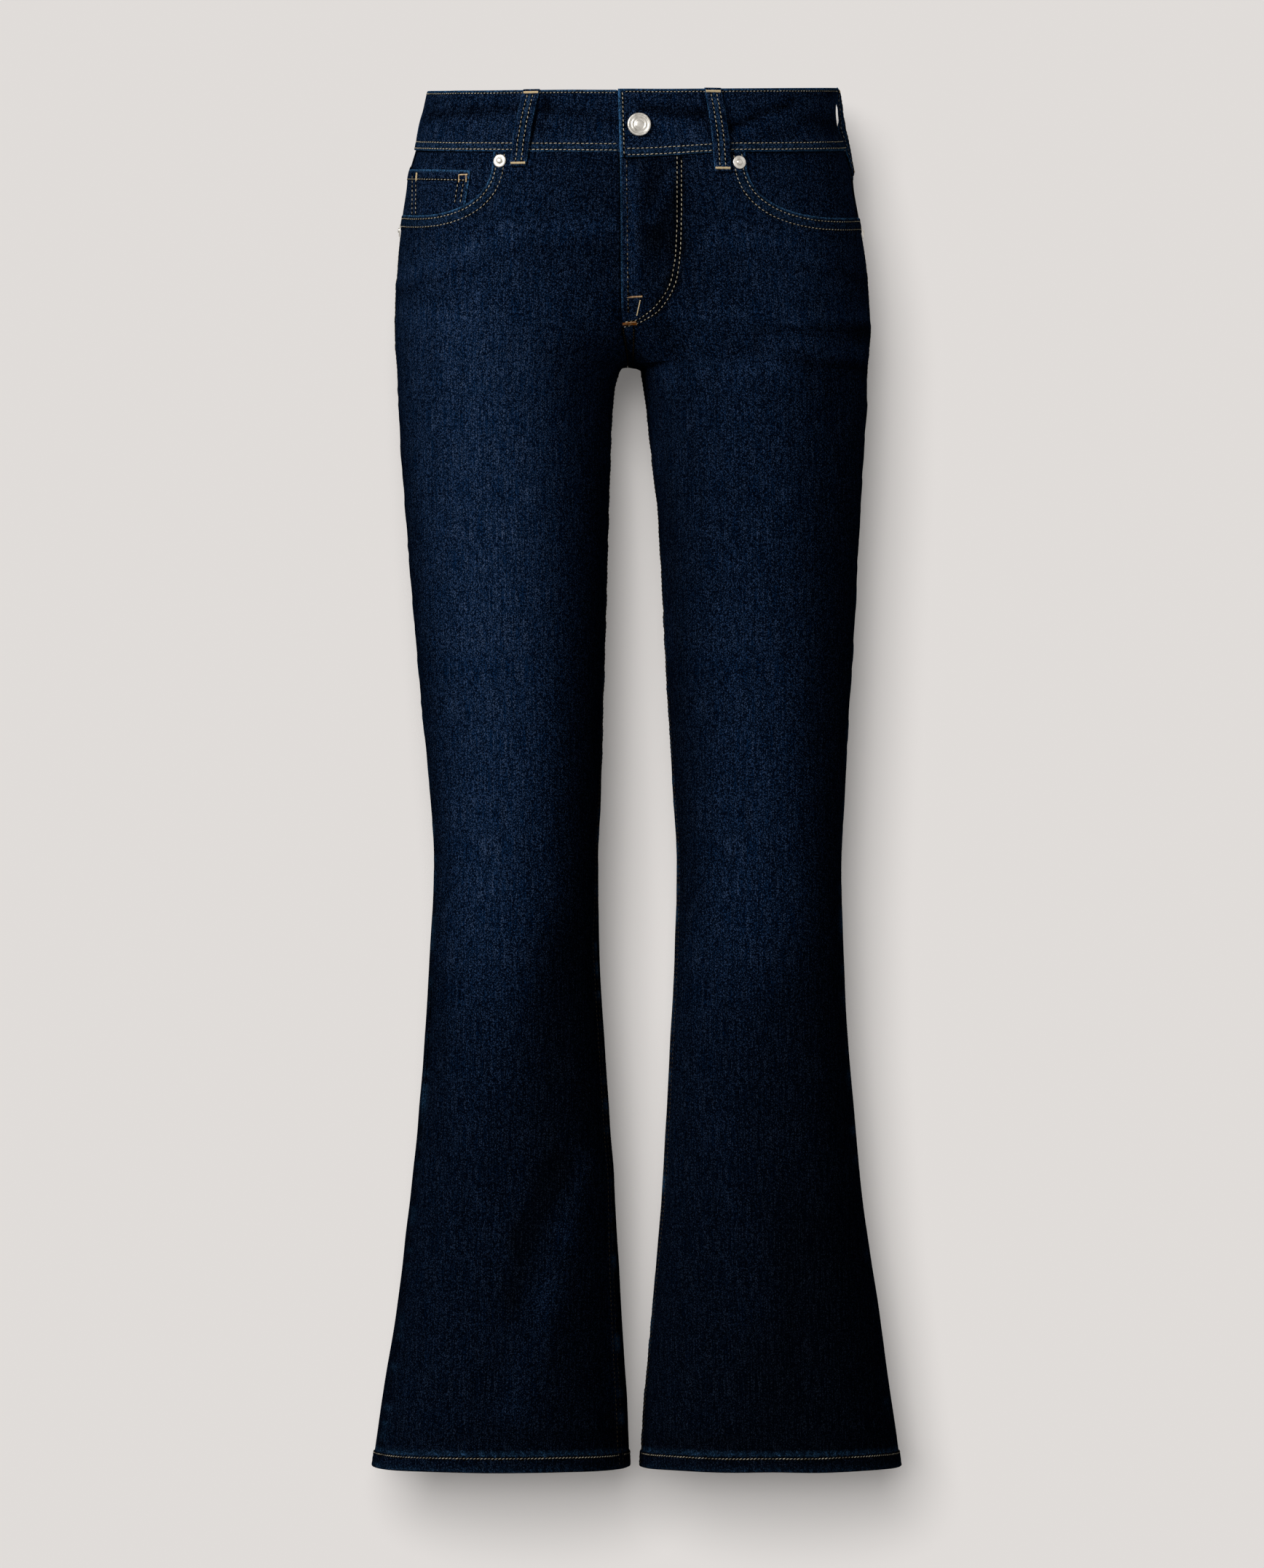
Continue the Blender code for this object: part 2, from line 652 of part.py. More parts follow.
def pocket_facing(leg):
    """The piece that shows inside the scooped pocket mouth, under the front's edge."""
    deep = 4
    under = CLOTH + LAY_GAP
    lines = [[] for _ in range(deep + 1)]
    for share in front_columns(leg)[PLAIN_COLUMNS - 1:]:
        across = inside_seams(leg, "front", BAND_BOTTOM - 20, share)
        low = mouth_height(leg, across, FACING_WIDER, FACING_DEEPER)
        top = band_bottom(leg, "front", across) - SEAM_GAP
        for line in range(deep + 1):
            height = top + (low - top) * line / deep
            lines[line].append(layer_pair(leg, "front", height, across, -under, CLOTH))
    return cloth("pocket_facing_" + leg, lines, "denim")


def coin_pocket():
    """The small pocket on the right facing; the front's edge crosses its lower end."""
    leg = "right"
    deep = 4
    top_inner, top_outer = -41.2, -35.5        # height of its hem at the inner and outer end
    edge_top_x, edge_low_x = -117.0, -121.2    # its free edge leans a little outwards
    first = across_at_x(leg, "front", -66, edge_low_x)
    columns = [first] + [share for share in front_columns(leg) if share > first + 0.01]
    lines = [[] for _ in range(deep + 1)]
    for share in columns:
        across = inside_seams(leg, "front", BAND_BOTTOM - 20, share)
        low = mouth_height(leg, across) + SEAM_GAP + 0.2
        top = top_inner + (top_outer - top_inner) * (share - first) / (1 - first)
        for line in range(deep + 1):
            down = line / deep
            height = top + (low - top) * down
            if share == first:
                lean = edge_top_x + (edge_low_x - edge_top_x) * down
                across = across_at_x(leg, "front", height, lean)
            lines[line].append(layer_pair(leg, "front", height, across, 0.1, CLOTH))
    return cloth("coin_pocket", lines, "denim")


def back_pocket(leg):
    """A plain five-sided patch on the seat, made from the seat panel's own points.

    Its sides run between two lines of the panel's grid, and it narrows a little downwards.
    """
    first, last = 4, 10                            # the grid's columns that it covers whole
    inner_top, inner_low = 0.222, 0.272            # shares across the panel of its two sides
    outer_top, outer_low = 0.775, 0.724
    corner_height, point_height = -197.5, -210.5   # of its lower edge
    rows = back_heights()[3:]
    covered = [row for row in rows if row[0] > corner_height]
    below = rows[len(covered)]
    columns = back_columns()

    def corner(heights, column):
        across = inside_seams(leg, "back", heights[column], columns[column])
        return (place(leg, "back", heights[column], across),
                outward(leg, "back", heights[column], across))

    def between(one, other, share):
        return (one[0].lerp(other[0], share), one[1].lerp(other[1], share).normalized())

    grid = [[corner(row, column) for column in range(first - 1, last + 2)] for row in covered]
    low_row = []
    for column in range(first - 1, last + 2):
        middle = 1 - abs(column - (first + last) / 2) / ((last - first) / 2 + 1)
        low = corner_height + (point_height - corner_height) * middle
        share = (covered[-1][column] - low) / (covered[-1][column] - below[column])
        low_row.append(between(grid[-1][column - first + 1], corner(below, column), share))
    grid.append(low_row)

    lines = []
    for number, row in enumerate(grid):
        down = number / (len(grid) - 1)
        inner = inner_top + (inner_low - inner_top) * down
        outer = outer_top + (outer_low - outer_top) * down
        inner_edge = between(row[0], row[1], inner * BACK_COLUMNS - (first - 1))
        outer_edge = between(row[-2], row[-1], outer * BACK_COLUMNS - last)
        line = []
        for point, normal in [inner_edge] + row[1:-1] + [outer_edge]:
            line.append((point + normal * (POCKET_GAP + CLOTH), point + normal * POCKET_GAP))
        lines.append(line)
    return cloth("back_pocket_" + leg, lines, "denim")


def band_path():
    """Places along the waistband from its buttoned end round the back to its hidden end."""
    steps = 15
    path = []
    for leg, panel, forward in (("left", "front", True), ("left", "back", False),
                                ("right", "back", True), ("right", "front", False)):
        for step in range(steps):
            share = step / steps
            path.append((leg, panel, share if forward else 1 - share))
    path.append(("right", "front", 0.0))
    under = across_at("left", "front", 0.0, BAND_UNDERLAP)
    for step in range(1, 4):
        path.append(("left", "front", under * step / 3))
    return path


def waistband():
    path = band_path()
    spots = [place(leg, panel, 0.0, across) for leg, panel, across in path]
    along = [0.0]
    for before, after in zip(spots, spots[1:]):
        along.append(along[-1] + (after - before).length)
    hidden_from = along[-1] - BAND_UNDERLAP
    deep = 3
    lines = [[] for _ in range(deep + 1)]
    for (leg, panel, across), reach in zip(path, along):
        lap = BAND_LAP * (1 - ease(reach / BAND_LAP_LENGTH))
        lap -= BAND_LAP * ease((reach - hidden_from + BAND_LAP_LENGTH) / BAND_LAP_LENGTH)
        under = reach > hidden_from
        top = band_top(leg, panel, across)
        low = band_bottom("right" if under else leg, panel, 0.0 if under else across)
        if under:
            top -= 0.5
        for line in range(deep + 1):
            height = top + (low - top) * line / deep
            lines[line].append(layer_pair(leg, panel, height, across,
                                          BAND_CLOTH / 2 + lap, BAND_CLOTH))
    return cloth("waistband", lines, "denim")


def belt_loop(number, leg, panel, top_across, low_across, low_height):
    """A narrow strip, tacked at the waistband's top and below it, that stands off between."""
    top_height = band_top(leg, panel, top_across)
    lines = []
    for share, stand in LOOP_PROFILE:
        height = top_height + (low_height - top_height) * share
        middle = distance_at(leg, panel, height, top_across + (low_across - top_across) * share)
        line = []
        for side in (-0.5, 0, 0.5):
            across = across_at(leg, panel, height, middle + side * LOOP_WIDTH)
            line.append(layer_pair(leg, panel, height, across, stand + LOOP_CLOTH, LOOP_CLOTH))
        lines.append(line)
    return cloth("belt_loop_%d" % number, lines, "denim")


def belt_loops():
    """Two in front, one behind each side seam and one over the seat seam."""
    def front_loop(number, leg, top_x, low_x, low_height):
        top_across = across_at_x(leg, "front", 10, top_x)
        low_across = across_at_x(leg, "front", low_height, low_x)
        belt_loop(number, leg, "front", top_across, low_across, low_height)

    front_loop(1, "right", -72.0, -82.6, -39.5)
    front_loop(2, "left", 58.2, 65.8, -43.5)
    for number, leg, behind, low_height in ((3, "right", 34.0, -36.0), (4, "left", 7.5, -40.0)):
        across = across_at(leg, "back", 0, girth(leg, "back", 0) - behind)
        belt_loop(number, leg, "back", across, across, low_height)
    centre_loop(5)


def centre_loop(number):
    """The loop over the seat seam, which spans both halves of the garment."""
    below_band = 13.0
    top_height = band_top("left", "back", 0.0)
    low_height = band_bottom("left", "back", 0.0) - below_band
    lines = []
    for share, stand in LOOP_PROFILE:
        height = top_height + (low_height - top_height) * share
        line = []
        for leg, side in (("right", 1), ("right", 0.04), ("left", 1)):
            across = across_at(leg, "back", height, side * LOOP_WIDTH / 2)
            line.append(layer_pair(leg, "back", height, across, stand + LOOP_CLOTH, LOOP_CLOTH))
        lines.append(line)
    return cloth("belt_loop_%d" % number, lines, "denim")


# ---------------------------------------------------------------- fly
def fly_shield():
    """The strip behind the zip: sewn to the right front, it stands off under the left one."""
    # distance from the centre front towards the left side, and depth under the outer face
    sewn = CLOTH + 2 * LAY_GAP
    stations = ((-10, sewn), (-4, sewn), (3, 4.6), (14, 4.9), (24, 4.9), (33, 4.9))
    deep = 8
    top = band_bottom("left", "front", 0.0) - SEAM_GAP - 0.2
    low = FLY_LENGTH_END + 8
    lines = []
    for step in range(deep + 1):
        height = top + (low - top) * step / deep
        line = []
        for distance, depth in stations:
            leg = "right" if distance < 0 else "left"
            across = across_at(leg, "front", height, abs(distance))
            line.append(layer_pair(leg, "front", height, across, -depth, CLOTH))
        lines.append(line)
    return cloth("fly_shield", lines, "denim")


def zip_parts():
    """The closed zip under the left front's overlap: tape with its chain, and the slider."""
    chain = 12.0                       # distance of the chain from the overlap's edge
    tape_stations = (chain - 10, chain - 2, chain + 2, chain + 10)
    tape_cloth, slider_thickness = 1.1, 2.6
    slider_top = band_bottom("left", "front", 0.0) - 4.0
    slider_length = 11.0
    slider_outline = ((0.0, 2.6), (0.25, 4.3), (0.6, 4.3), (1.0, 3.4))   # share, half width
    tape_top = slider_top - slider_length - SEAM_GAP
    tape_low = FLY_LENGTH_END + 12
    under = CLOTH + 2 * LAY_GAP
    deep = 8
    lines = []
    for step in range(deep + 1):
        height = tape_top + (tape_low - tape_top) * step / deep
        line = []
        for distance in tape_stations:
            across = across_at("left", "front", height, distance)
            line.append(layer_pair("left", "front", height, across, -under, tape_cloth))
        lines.append(line)
    cloth("zip_tape", lines, "tape")

    lines = []
    for share, half in slider_outline:
        height = slider_top - slider_length * share
        line = []
        for distance in (chain - half, chain + half):
            across = across_at("left", "front", height, distance)
            line.append(layer_pair("left", "front", height, across, -under, slider_thickness))
        lines.append(line)
    cloth("zip_slider", lines, "nickel")


# ---------------------------------------------------------------- metal pieces
def button():
    height, x = -10.0, 5.0
    across = across_at_x("left", "front", height, x)
    reach = distance_at("left", "front", height, across)
    lap = BAND_LAP * (1 - ease(reach / BAND_LAP_LENGTH))
    seat = BAND_CLOTH / 2 + lap + 2 * LAY_GAP
    radius = BUTTON_RADIUS
    profile = ((0.0, 3.0), (3.1, 2.9), (5.2, 2.3), (6.4, 2.3), (7.4, 3.0), (8.1, 2.9),
               (radius, 2.2), (radius, 1.3), (7.6, 0.7), (4.2, 0.5), (3.4, 0.0), (0.0, 0.0))
    normal = outward("left", "front", height, across)
    turned("button", profile, 24, place("left", "front", height, across, seat), normal, "nickel")


def rivet(name, leg, across, height):
    profile = ((0.0, 1.7), (1.2, 1.6), (1.7, 1.0), (3.6, 1.0), (4.6, 0.7),
               (RIVET_RADIUS, 0.0), (0.0, 0.0))
    normal = outward(leg, "front", height, across)
    turned(name, profile, 14, place(leg, "front", height, across, LAY_GAP), normal, "nickel")


def rivets():
    for leg, x, height in (("right", -95.4, -35.0), ("left", 77.4, -36.2)):
        rivet("rivet_mouth_" + leg, leg, across_at_x(leg, "front", height, x), height)
    for leg, height in (("right", -80.6), ("left", -82.4)):
        across = across_at(leg, "front", height, girth(leg, "front", height) - 7.5)
        rivet("rivet_side_" + leg, leg, across, height)


# ---------------------------------------------------------------- materials and scene
def material(name, colour, roughness, metallic):
    finish = bpy.data.materials.new(name)
    finish.use_nodes = True
    shader = finish.node_tree.nodes["Principled BSDF"]
    shader.inputs["Base Color"].default_value = (*colour, 1.0)
    shader.inputs["Roughness"].default_value = roughness
    shader.inputs["Metallic"].default_value = metallic
    return finish


for thing in list(bpy.data.objects):
    bpy.data.objects.remove(thing, do_unlink=True)

PARTS = bpy.data.collections.new("Flared jeans")
bpy.context.scene.collection.children.link(PARTS)
MATERIALS = {
    "denim": material("Indigo denim", (0.010, 0.026, 0.058), 0.85, 0.0),
    "tape": material("Zip tape", (0.010, 0.016, 0.035), 0.8, 0.0),
    "nickel": material("Nickel plate", (0.62, 0.61, 0.58), 0.28, 1.0),
}

for wearer_side in ("right", "left"):
    front_panel(wearer_side)
    back_panel(wearer_side)
    yoke(wearer_side)
    pocket_facing(wearer_side)
    back_pocket(wearer_side)
waistband()
belt_loops()
coin_pocket()
fly_shield()
zip_parts()
button()
rivets()
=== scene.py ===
# %% [markdown]
# # Flared jeans, dressed
# The rigid model gives every piece its place and size. This lesson gives the pieces their looks:
# thin denim shells on the same form as the solids, thread, metal and light. Lengths in the
# tables are in millimetres; "right" and "left" are the wearer's, and the right leg is at -X.

# %% Load the rigid model
import functools
import math

import bpy
import numpy as np
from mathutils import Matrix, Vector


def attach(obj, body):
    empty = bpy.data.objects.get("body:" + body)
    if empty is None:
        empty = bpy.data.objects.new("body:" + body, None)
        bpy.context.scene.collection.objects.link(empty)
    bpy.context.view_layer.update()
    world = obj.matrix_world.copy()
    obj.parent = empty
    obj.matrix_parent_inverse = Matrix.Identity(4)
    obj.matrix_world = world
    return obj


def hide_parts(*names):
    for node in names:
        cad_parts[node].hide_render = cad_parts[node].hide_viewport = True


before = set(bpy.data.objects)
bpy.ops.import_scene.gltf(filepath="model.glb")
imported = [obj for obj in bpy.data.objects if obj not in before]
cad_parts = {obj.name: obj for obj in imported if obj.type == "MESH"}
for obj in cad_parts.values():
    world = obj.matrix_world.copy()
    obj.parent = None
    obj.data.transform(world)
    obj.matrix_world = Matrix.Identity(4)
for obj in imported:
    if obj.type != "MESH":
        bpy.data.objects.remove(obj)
bpy.context.view_layer.update()
MM = 0.001

# %% [markdown]
# ## The figure inside
# Jeans take their form from the hips and legs that fill them. The solids were made from a table
# of level sections, one row for each height, and the same table is used here with finer steps,
# so a shell lies on its solid to a fraction of a millimetre. Modelling the shell by eye would be
# quicker to write, but then nothing would sit on anything.

# %% Sizes of the garment, in millimetres
CLOTH = 1.2
BAND_CLOTH = 2.2
SEAM_GAP = 0.3
SHELL_GAP = 0.03       # the shells all but touch, so no light shows through a seam
LAY_GAP = 0.3
CROTCH_HEIGHT = -179.2
CROTCH_DEPTH = 12.0
CROTCH_X = -3.2
FRONT_RISE_CURVE = (60.0, 2.2)
BACK_RISE_CURVE = (96.0, 2.5)
ARCH_HEIGHT = 60.0
NOTCH = {"right": (16.0, 0.28), "left": (2.8, 0.4)}
CENTRE_BACK_X = 9.0
HIP_TURN_HEIGHT = 150.0
EXTENSION_TOP = -200.0
EXTENSION_FADE = 120.0
HEM_BOTTOM = -985.6
HEM_HEIGHT = 11.5
HEM_RAISE = 0.7
BAND_TOP = 22.6
BAND_BOTTOM = -21.6
BAND_TOP_TILT = 0.062
BAND_BOTTOM_TILT = 0.075
BAND_BACK_TILT = 0.062
BAND_ROLL = 0.0087
BAND_LAP = 1.4
BAND_LAP_LENGTH = 40.0
BAND_UNDERLAP = 30.0
BAND_END_DROOP = 4.0
POCKET_REACH = {"right": 67.4, "left": 84.3}
POCKET_DROP = {"right": 47.5, "left": 49.5}
POCKET_ROUNDNESS = 2.5
FACING_WIDER = 24.0
FACING_DEEPER = 12.0
FLY_LENGTH_END = -148.0
YOKE_SIDE = -42.0
YOKE_CENTRE = -87.0
SIGN = {"right": -1, "left": 1}
print("height from the waistband's top to the hem:", BAND_TOP - HEM_BOTTOM, "mm")

# %% The level sections and the long seams
FIGURE_COLUMNS = ("height", "right", "left", "middle", "gap", "front", "back", "side",
                  "inseam", "crest", "round")
FIGURE = (
    (36, -145.6, 148.0, -10.8, 0.0, -93, 98, 2, 12, 0.00, 2.3),
    (22, -148.6, 149.2, -10.4, 0.0, -95, 101, 2, 12, 0.00, 2.3),
    (8, -151.7, 148.0, -10.0, 0.0, -98, 105, 2, 12, 0.00, 2.3),
    (-6, -154.7, 149.6, -9.6, 0.0, -101, 109, 2, 12, 0.00, 2.3),
    (-21, -158.2, 155.6, -9.2, 0.0, -103, 113, 2, 12, 0.00, 2.3),
    (-30, -160.8, 159.0, -9.0, 0.0, -104, 116, 2, 12, 0.01, 2.3),
    (-40, -163.8, 161.4, -8.9, 0.0, -105, 118, 2, 12, 0.02, 2.3),
    (-52, -165.2, 162.8, -8.8, 0.0, -106, 121, 3, 12, 0.04, 2.3),
    (-71, -168.0, 166.3, -8.6, 0.0, -108, 126, 4, 12, 0.08, 2.3),
    (-125, -173.2, 173.2, -8.1, 0.0, -107, 133, 6, 12, 0.34, 2.2),
    (-154, -174.3, 174.3, -7.4, 0.0, -103, 131, 6, 12, 0.44, 2.15),
    (-179, -172.6, 172.3, -3.2, 9.0, -98, 123, 5, 12, 0.49, 2.1),
    (-199, -171.9, 172.0, -2.1, 11.7, -96, 111, 3, 11, 0.50, 2.1),
    (-231, -170.0, 170.6, -1.3, 14.7, -94, 97, 1, 8, 0.50, 2.1),
    (-295, -165.2, 166.8, 1.1, 18.7, -90, 83, -2, 3, 0.50, 2.1),
    (-391, -157.2, 161.5, 2.1, 22.4, -82, 67, -5, 0, 0.50, 2.1),
    (-487, -148.7, 155.6, 3.7, 26.0, -74, 55, -8, -4, 0.50, 2.1),
    (-543, -145.0, 153.3, 4.0, 28.5, -69, 53, -8, -5, 0.50, 2.1),
    (-599, -147.4, 154.6, 3.6, 27.6, -65, 57, -5, -3, 0.50, 2.1),
    (-679, -152.4, 158.3, 4.0, 23.7, -61, 65, 1, 1, 0.50, 2.1),
    (-775, -161.0, 166.8, 4.5, 17.9, -60, 72, 5, 5, 0.50, 2.1),
    (-871, -172.7, 180.7, 3.5, 10.9, -62, 77, 8, 8, 0.50, 2.1),
    (-951, -185.0, 192.6, 2.4, 5.6, -65, 81, 8, 8, 0.50, 2.1),
    (-987, -190.3, 197.2, 2.1, 3.2, -67, 82, 8, 8, 0.50, 2.1),
)
SEAM_COLUMNS = ("height", "right inseam", "left inseam", "right side", "left side")
SEAMS = (
    (-170, 0, 0, 0, 0),
    (-220, 0, 0, 1, 1),
    (-400, 6, 6, 7, 7),
    (-600, 13, 11, 15, 14),
    (-750, 18, 11, 21, 19),
    (-900, 25, 6, 26, 24),
    (-987, 26, 4, 27, 25),
)


def smooth_curve(places, values):
    """A curve through a table's points that never overshoots between two rows."""
    places, values = np.array(places, float), np.array(values, float)
    steps = np.diff(places)
    slopes = np.diff(values) / steps
    leans = np.concatenate([slopes[:1], slopes[1:], slopes[-1:]])
    before, after = slopes[:-1], slopes[1:]
    same_way = before * after > 0
    total = np.where(same_way, before + after, 1.0)
    leans[1:-1] = np.where(same_way, 2 * before * after / total, 0.0)

    def value(place):
        place = np.clip(place, places[0], places[-1])
        index = np.clip(np.searchsorted(places, place) - 1, 0, len(steps) - 1)
        step = steps[index]
        t = (place - places[index]) / step
        return ((1 + 2 * t) * (1 - t) ** 2 * values[index]
                + t * (1 - t) ** 2 * step * leans[index]
                + t * t * (3 - 2 * t) * values[index + 1]
                + t * t * (t - 1) * step * leans[index + 1])

    return value


def table_curves(columns, rows):
    upwards = np.array(sorted(rows), float)
    return {name: smooth_curve(upwards[:, 0], upwards[:, index])
            for index, name in enumerate(columns)}


FIGURE_CURVES = table_curves(FIGURE_COLUMNS, FIGURE)
SEAM_CURVES = table_curves(SEAM_COLUMNS, SEAMS)
print("the right hip seam at the crotch is at x", round(float(FIGURE_CURVES["right"](-179.2)), 1))

# %% [markdown]
# ## Main folds
# Worn denim holds a few long folds for good: across the hip, down the lower legs, under the seat
# and behind the knees. Each is a line with a depth and a half width, and it draws the section in
# towards the leg's middle. A cloth simulation would put folds where it likes, so they are listed
# one by one.

# %% Folds drawn into the sections
# For each panel: x and height of one end, the same of the other end, depth, half width.
FOLDS = {
    ("left", "front"): (
        (107, -153, 176, -143, 2.4, 8), (107, -660, 74, -900, 2.6, 16),
        (140, -700, 152, -940, -1.8, 14)),
    ("right", "front"): (
        (-176, -147, -128, -138, 1.6, 9), (-44, -606, -89, -790, 3.2, 16),
        (-89, -790, -104, -930, 3.4, 16), (-34, -770, -72, -900, -2.4, 13)),
    ("right", "back"): (
        (-30, -224, -150, -206, 2.6, 12), (-32, -528, -138, -546, 2.4, 10),
        (-40, -566, -120, -556, 1.8, 9), (-70, -690, -96, -940, 3, 16)),
    ("left", "back"): (
        (28, -222, 150, -208, 2.8, 12), (38, -536, 146, -524, 2.2, 10), (46, -562, 132, -572, 2, 9),
        (84, -700, 112, -930, 2.8, 16)),
}


def fold_depth(folds, leg, panel, x, height):
    """How far the folds of a table draw the cloth in, at places x and height."""
    total = np.zeros(np.broadcast(x, height).shape)
    for x1, h1, x2, h2, depth, width in folds.get((leg, panel), ()):
        dx, dh = x2 - x1, h2 - h1
        share = np.clip(((x - x1) * dx + (height - h1) * dh) / (dx * dx + dh * dh), 0.0, 1.0)
        off = np.hypot(x - x1 - share * dx, height - h1 - share * dh)
        total = total + depth * np.exp(-0.5 * (off / width) ** 2)
    return total


def ease(value):
    """0 to 1 with soft ends."""
    value = np.clip(value, 0.0, 1.0)
    return value * value * (3 - 2 * value)


def bell(off, width):
    """1 in the middle, and soft down to nothing about two widths off."""
    return np.exp(-(off / width) ** 2)


def unit(vectors):
    return vectors / np.linalg.norm(vectors, axis=-1, keepdims=True)


def superellipse(angle, roundness):
    return (np.maximum(np.cos(angle), 0.0) ** (2 / roundness),
            np.maximum(np.sin(angle), 0.0) ** (2 / roundness))


print("folds drawn into the sections:", sum(len(rows) for rows in FOLDS.values()))

# %% One half of a level section
SAMPLES = 120


def centre_x(panel, height):
    """x of the middle seam: front and back differ above the crotch, because the hips turn."""
    middle = FIGURE_CURVES["middle"](height)
    if panel == "front" or height < CROTCH_HEIGHT:
        return middle
    lift = ease((height - CROTCH_HEIGHT) / HIP_TURN_HEIGHT)
    return CROTCH_X + (CENTRE_BACK_X - CROTCH_X) * lift


def half_section(leg, panel, height):
    """Points from the centre seam or the leg's inner side round to its outer side."""
    sign = SIGN[leg]
    at = {name: float(curve(height)) for name, curve in FIGURE_CURVES.items()}
    parted = height < CROTCH_HEIGHT
    centre = centre_x(panel, height)
    fullest = at[panel]
    if parted:
        notch_height, sharpness = NOTCH[leg]
        spread = min((CROTCH_HEIGHT - height) / notch_height, 1.0) ** sharpness
        inner_x = centre + sign * at["gap"] * spread
        inner_y, leg_y = at["inseam"], at["inseam"]
        reach, arch = 0.0, 1.0
    else:
        inner_x = centre + sign * SEAM_GAP / 2
        span, roundness = FRONT_RISE_CURVE if panel == "front" else BACK_RISE_CURVE
        share = min((height - CROTCH_HEIGHT) / span, 1.0)
        reach = min((1 - (1 - share) ** roundness) ** (1 / roundness), 0.995)
        inner_y, leg_y = CROTCH_DEPTH + (fullest - CROTCH_DEPTH) * reach, CROTCH_DEPTH
        arch = 1 - ease((height - CROTCH_HEIGHT) / ARCH_HEIGHT)
    outer_x, side_y, roundness = at[leg], at["side"], at["round"]
    thigh_x = centre + sign * at["gap"]
    crest_x = thigh_x + at["crest"] * (outer_x - thigh_x)

    cosine, sine = superellipse(np.linspace(math.pi / 2, 0, SAMPLES + 1), roundness)
    x = crest_x + (outer_x - crest_x) * cosine
    y = side_y + (fullest - side_y) * sine
    if abs(crest_x - inner_x) > 0.5:
        # The leg's round inner side runs on behind the centre seam, which cuts it off.
        cut = math.acos(min(reach ** (roundness / 2), 1.0))
        edge = (1 - reach ** roundness) ** (1 / roundness)
        cosine, sine = superellipse(cut * (1 - np.arange(SAMPLES) / SAMPLES), roundness)
        round_x = crest_x + (inner_x - crest_x) * sine / edge
        round_y = leg_y + (fullest - leg_y) * cosine
        along = (round_x - inner_x) / (crest_x - inner_x)
        wave_y = inner_y + (fullest - inner_y) * (1 - np.cos(math.pi * along)) / 2
        x = np.concatenate([round_x, x])
        y = np.concatenate([wave_y + (round_y - wave_y) * arch, y])

    away = np.maximum(np.hypot(x - crest_x, y - side_y), 30.0)
    share = 1 - fold_depth(FOLDS, leg, panel, x, height) / away
    share[0] = share[-1] = 1.0
    points = np.stack([crest_x + (x - crest_x) * share, side_y + (y - side_y) * share], 1)
    return points, inner_x, (thigh_x + outer_x) / 2


print("points in half a section above the crotch:", len(half_section("right", "front", -100.0)[0]))


# %% [markdown]
# ## Tables of the surface
# Thousands of places on the cloth are needed, so each panel's outer face is worked out once as a
# table: rows are heights, columns are equal steps round the section. Looking a place up in it is
# then quick. The direction straight out of the cloth is kept too, so that a hem or a thread can
# be raised by a fraction of a millimetre.

# %% Fill the tables
ACROSS_STEPS = 320
NEAR_CROTCH = CROTCH_HEIGHT - np.array([0, 0.001, 0.01, 0.05, 0.12, 0.25, 0.4, 0.6, 0.8])
HEIGHTS = np.unique(np.concatenate([np.arange(-990.0, -200.0, 2.0), np.arange(-200.0, -150.0, 0.5),
                                    np.arange(-150.0, 41.0, 2.0), NEAR_CROTCH]))
LINES = {}


def running_lengths(points):
    return np.concatenate([[0.0], np.cumsum(np.linalg.norm(np.diff(points, axis=0), axis=1))])


def along(points, lengths, distances):
    """Places at distances along a line of points with any number of coordinates."""
    return np.stack([np.interp(distances, lengths, values) for values in points.T], 1)


def fill_line(leg, height):
    """The front and back panel's sections at a height, each from its inner to its side seam."""
    inseam = float(SEAM_CURVES[leg + " inseam"](height))
    side = float(SEAM_CURVES[leg + " side"](height))
    steps = np.linspace(0, 1, ACROSS_STEPS + 1)
    front, inner_x, middle_x = half_section(leg, "front", height)
    lengths = running_lengths(front)
    whole = lengths[-1]
    back, back_inner_x, back_middle_x = half_section(leg, "back", height)
    if inseam > 0:
        back = np.concatenate([along(front, lengths, np.linspace(inseam, 0, 12)), back[1:]])
    if side > 0:
        end = along(front, lengths, np.linspace(whole, whole - side, 12))
        back = np.concatenate([back[:-1], end])
    for panel, points, start, end, middle, inner in (
            ("front", front, inseam, whole - side, middle_x, inner_x),
            ("back", back, 0.0, running_lengths(back)[-1], back_middle_x, back_inner_x)):
        lengths = running_lengths(points)
        line = along(points, lengths, start + (end - start) * steps)
        past = np.argmax((line[:, 0] - middle) * SIGN[leg] >= 0)
        share = (middle - line[past - 1, 0]) / (line[past, 0] - line[past - 1, 0])
        crease = (end - start) * (past - 1 + share) / ACROSS_STEPS
        LINES[leg, panel, height] = (line, end - start, crease, abs(middle - inner))


for height in HEIGHTS:
    for leg in SIGN:
        fill_line(leg, height)
POINTS, WHOLE, CREASE, STRAIGHT = {}, {}, {}, {}
for leg in SIGN:
    for panel in ("front", "back"):
        key = (leg, panel)
        rows = [LINES[leg, panel, height] for height in HEIGHTS]
        POINTS[key] = np.stack([row[0] for row in rows])
        WHOLE[key], CREASE[key], STRAIGHT[key] = np.array([row[1:] for row in rows]).T
print("surface tables:", len(HEIGHTS), "heights by", ACROSS_STEPS + 1, "places")


CROTCH_REACH, CROTCH_SOFTNESS = 34.0, 5.0


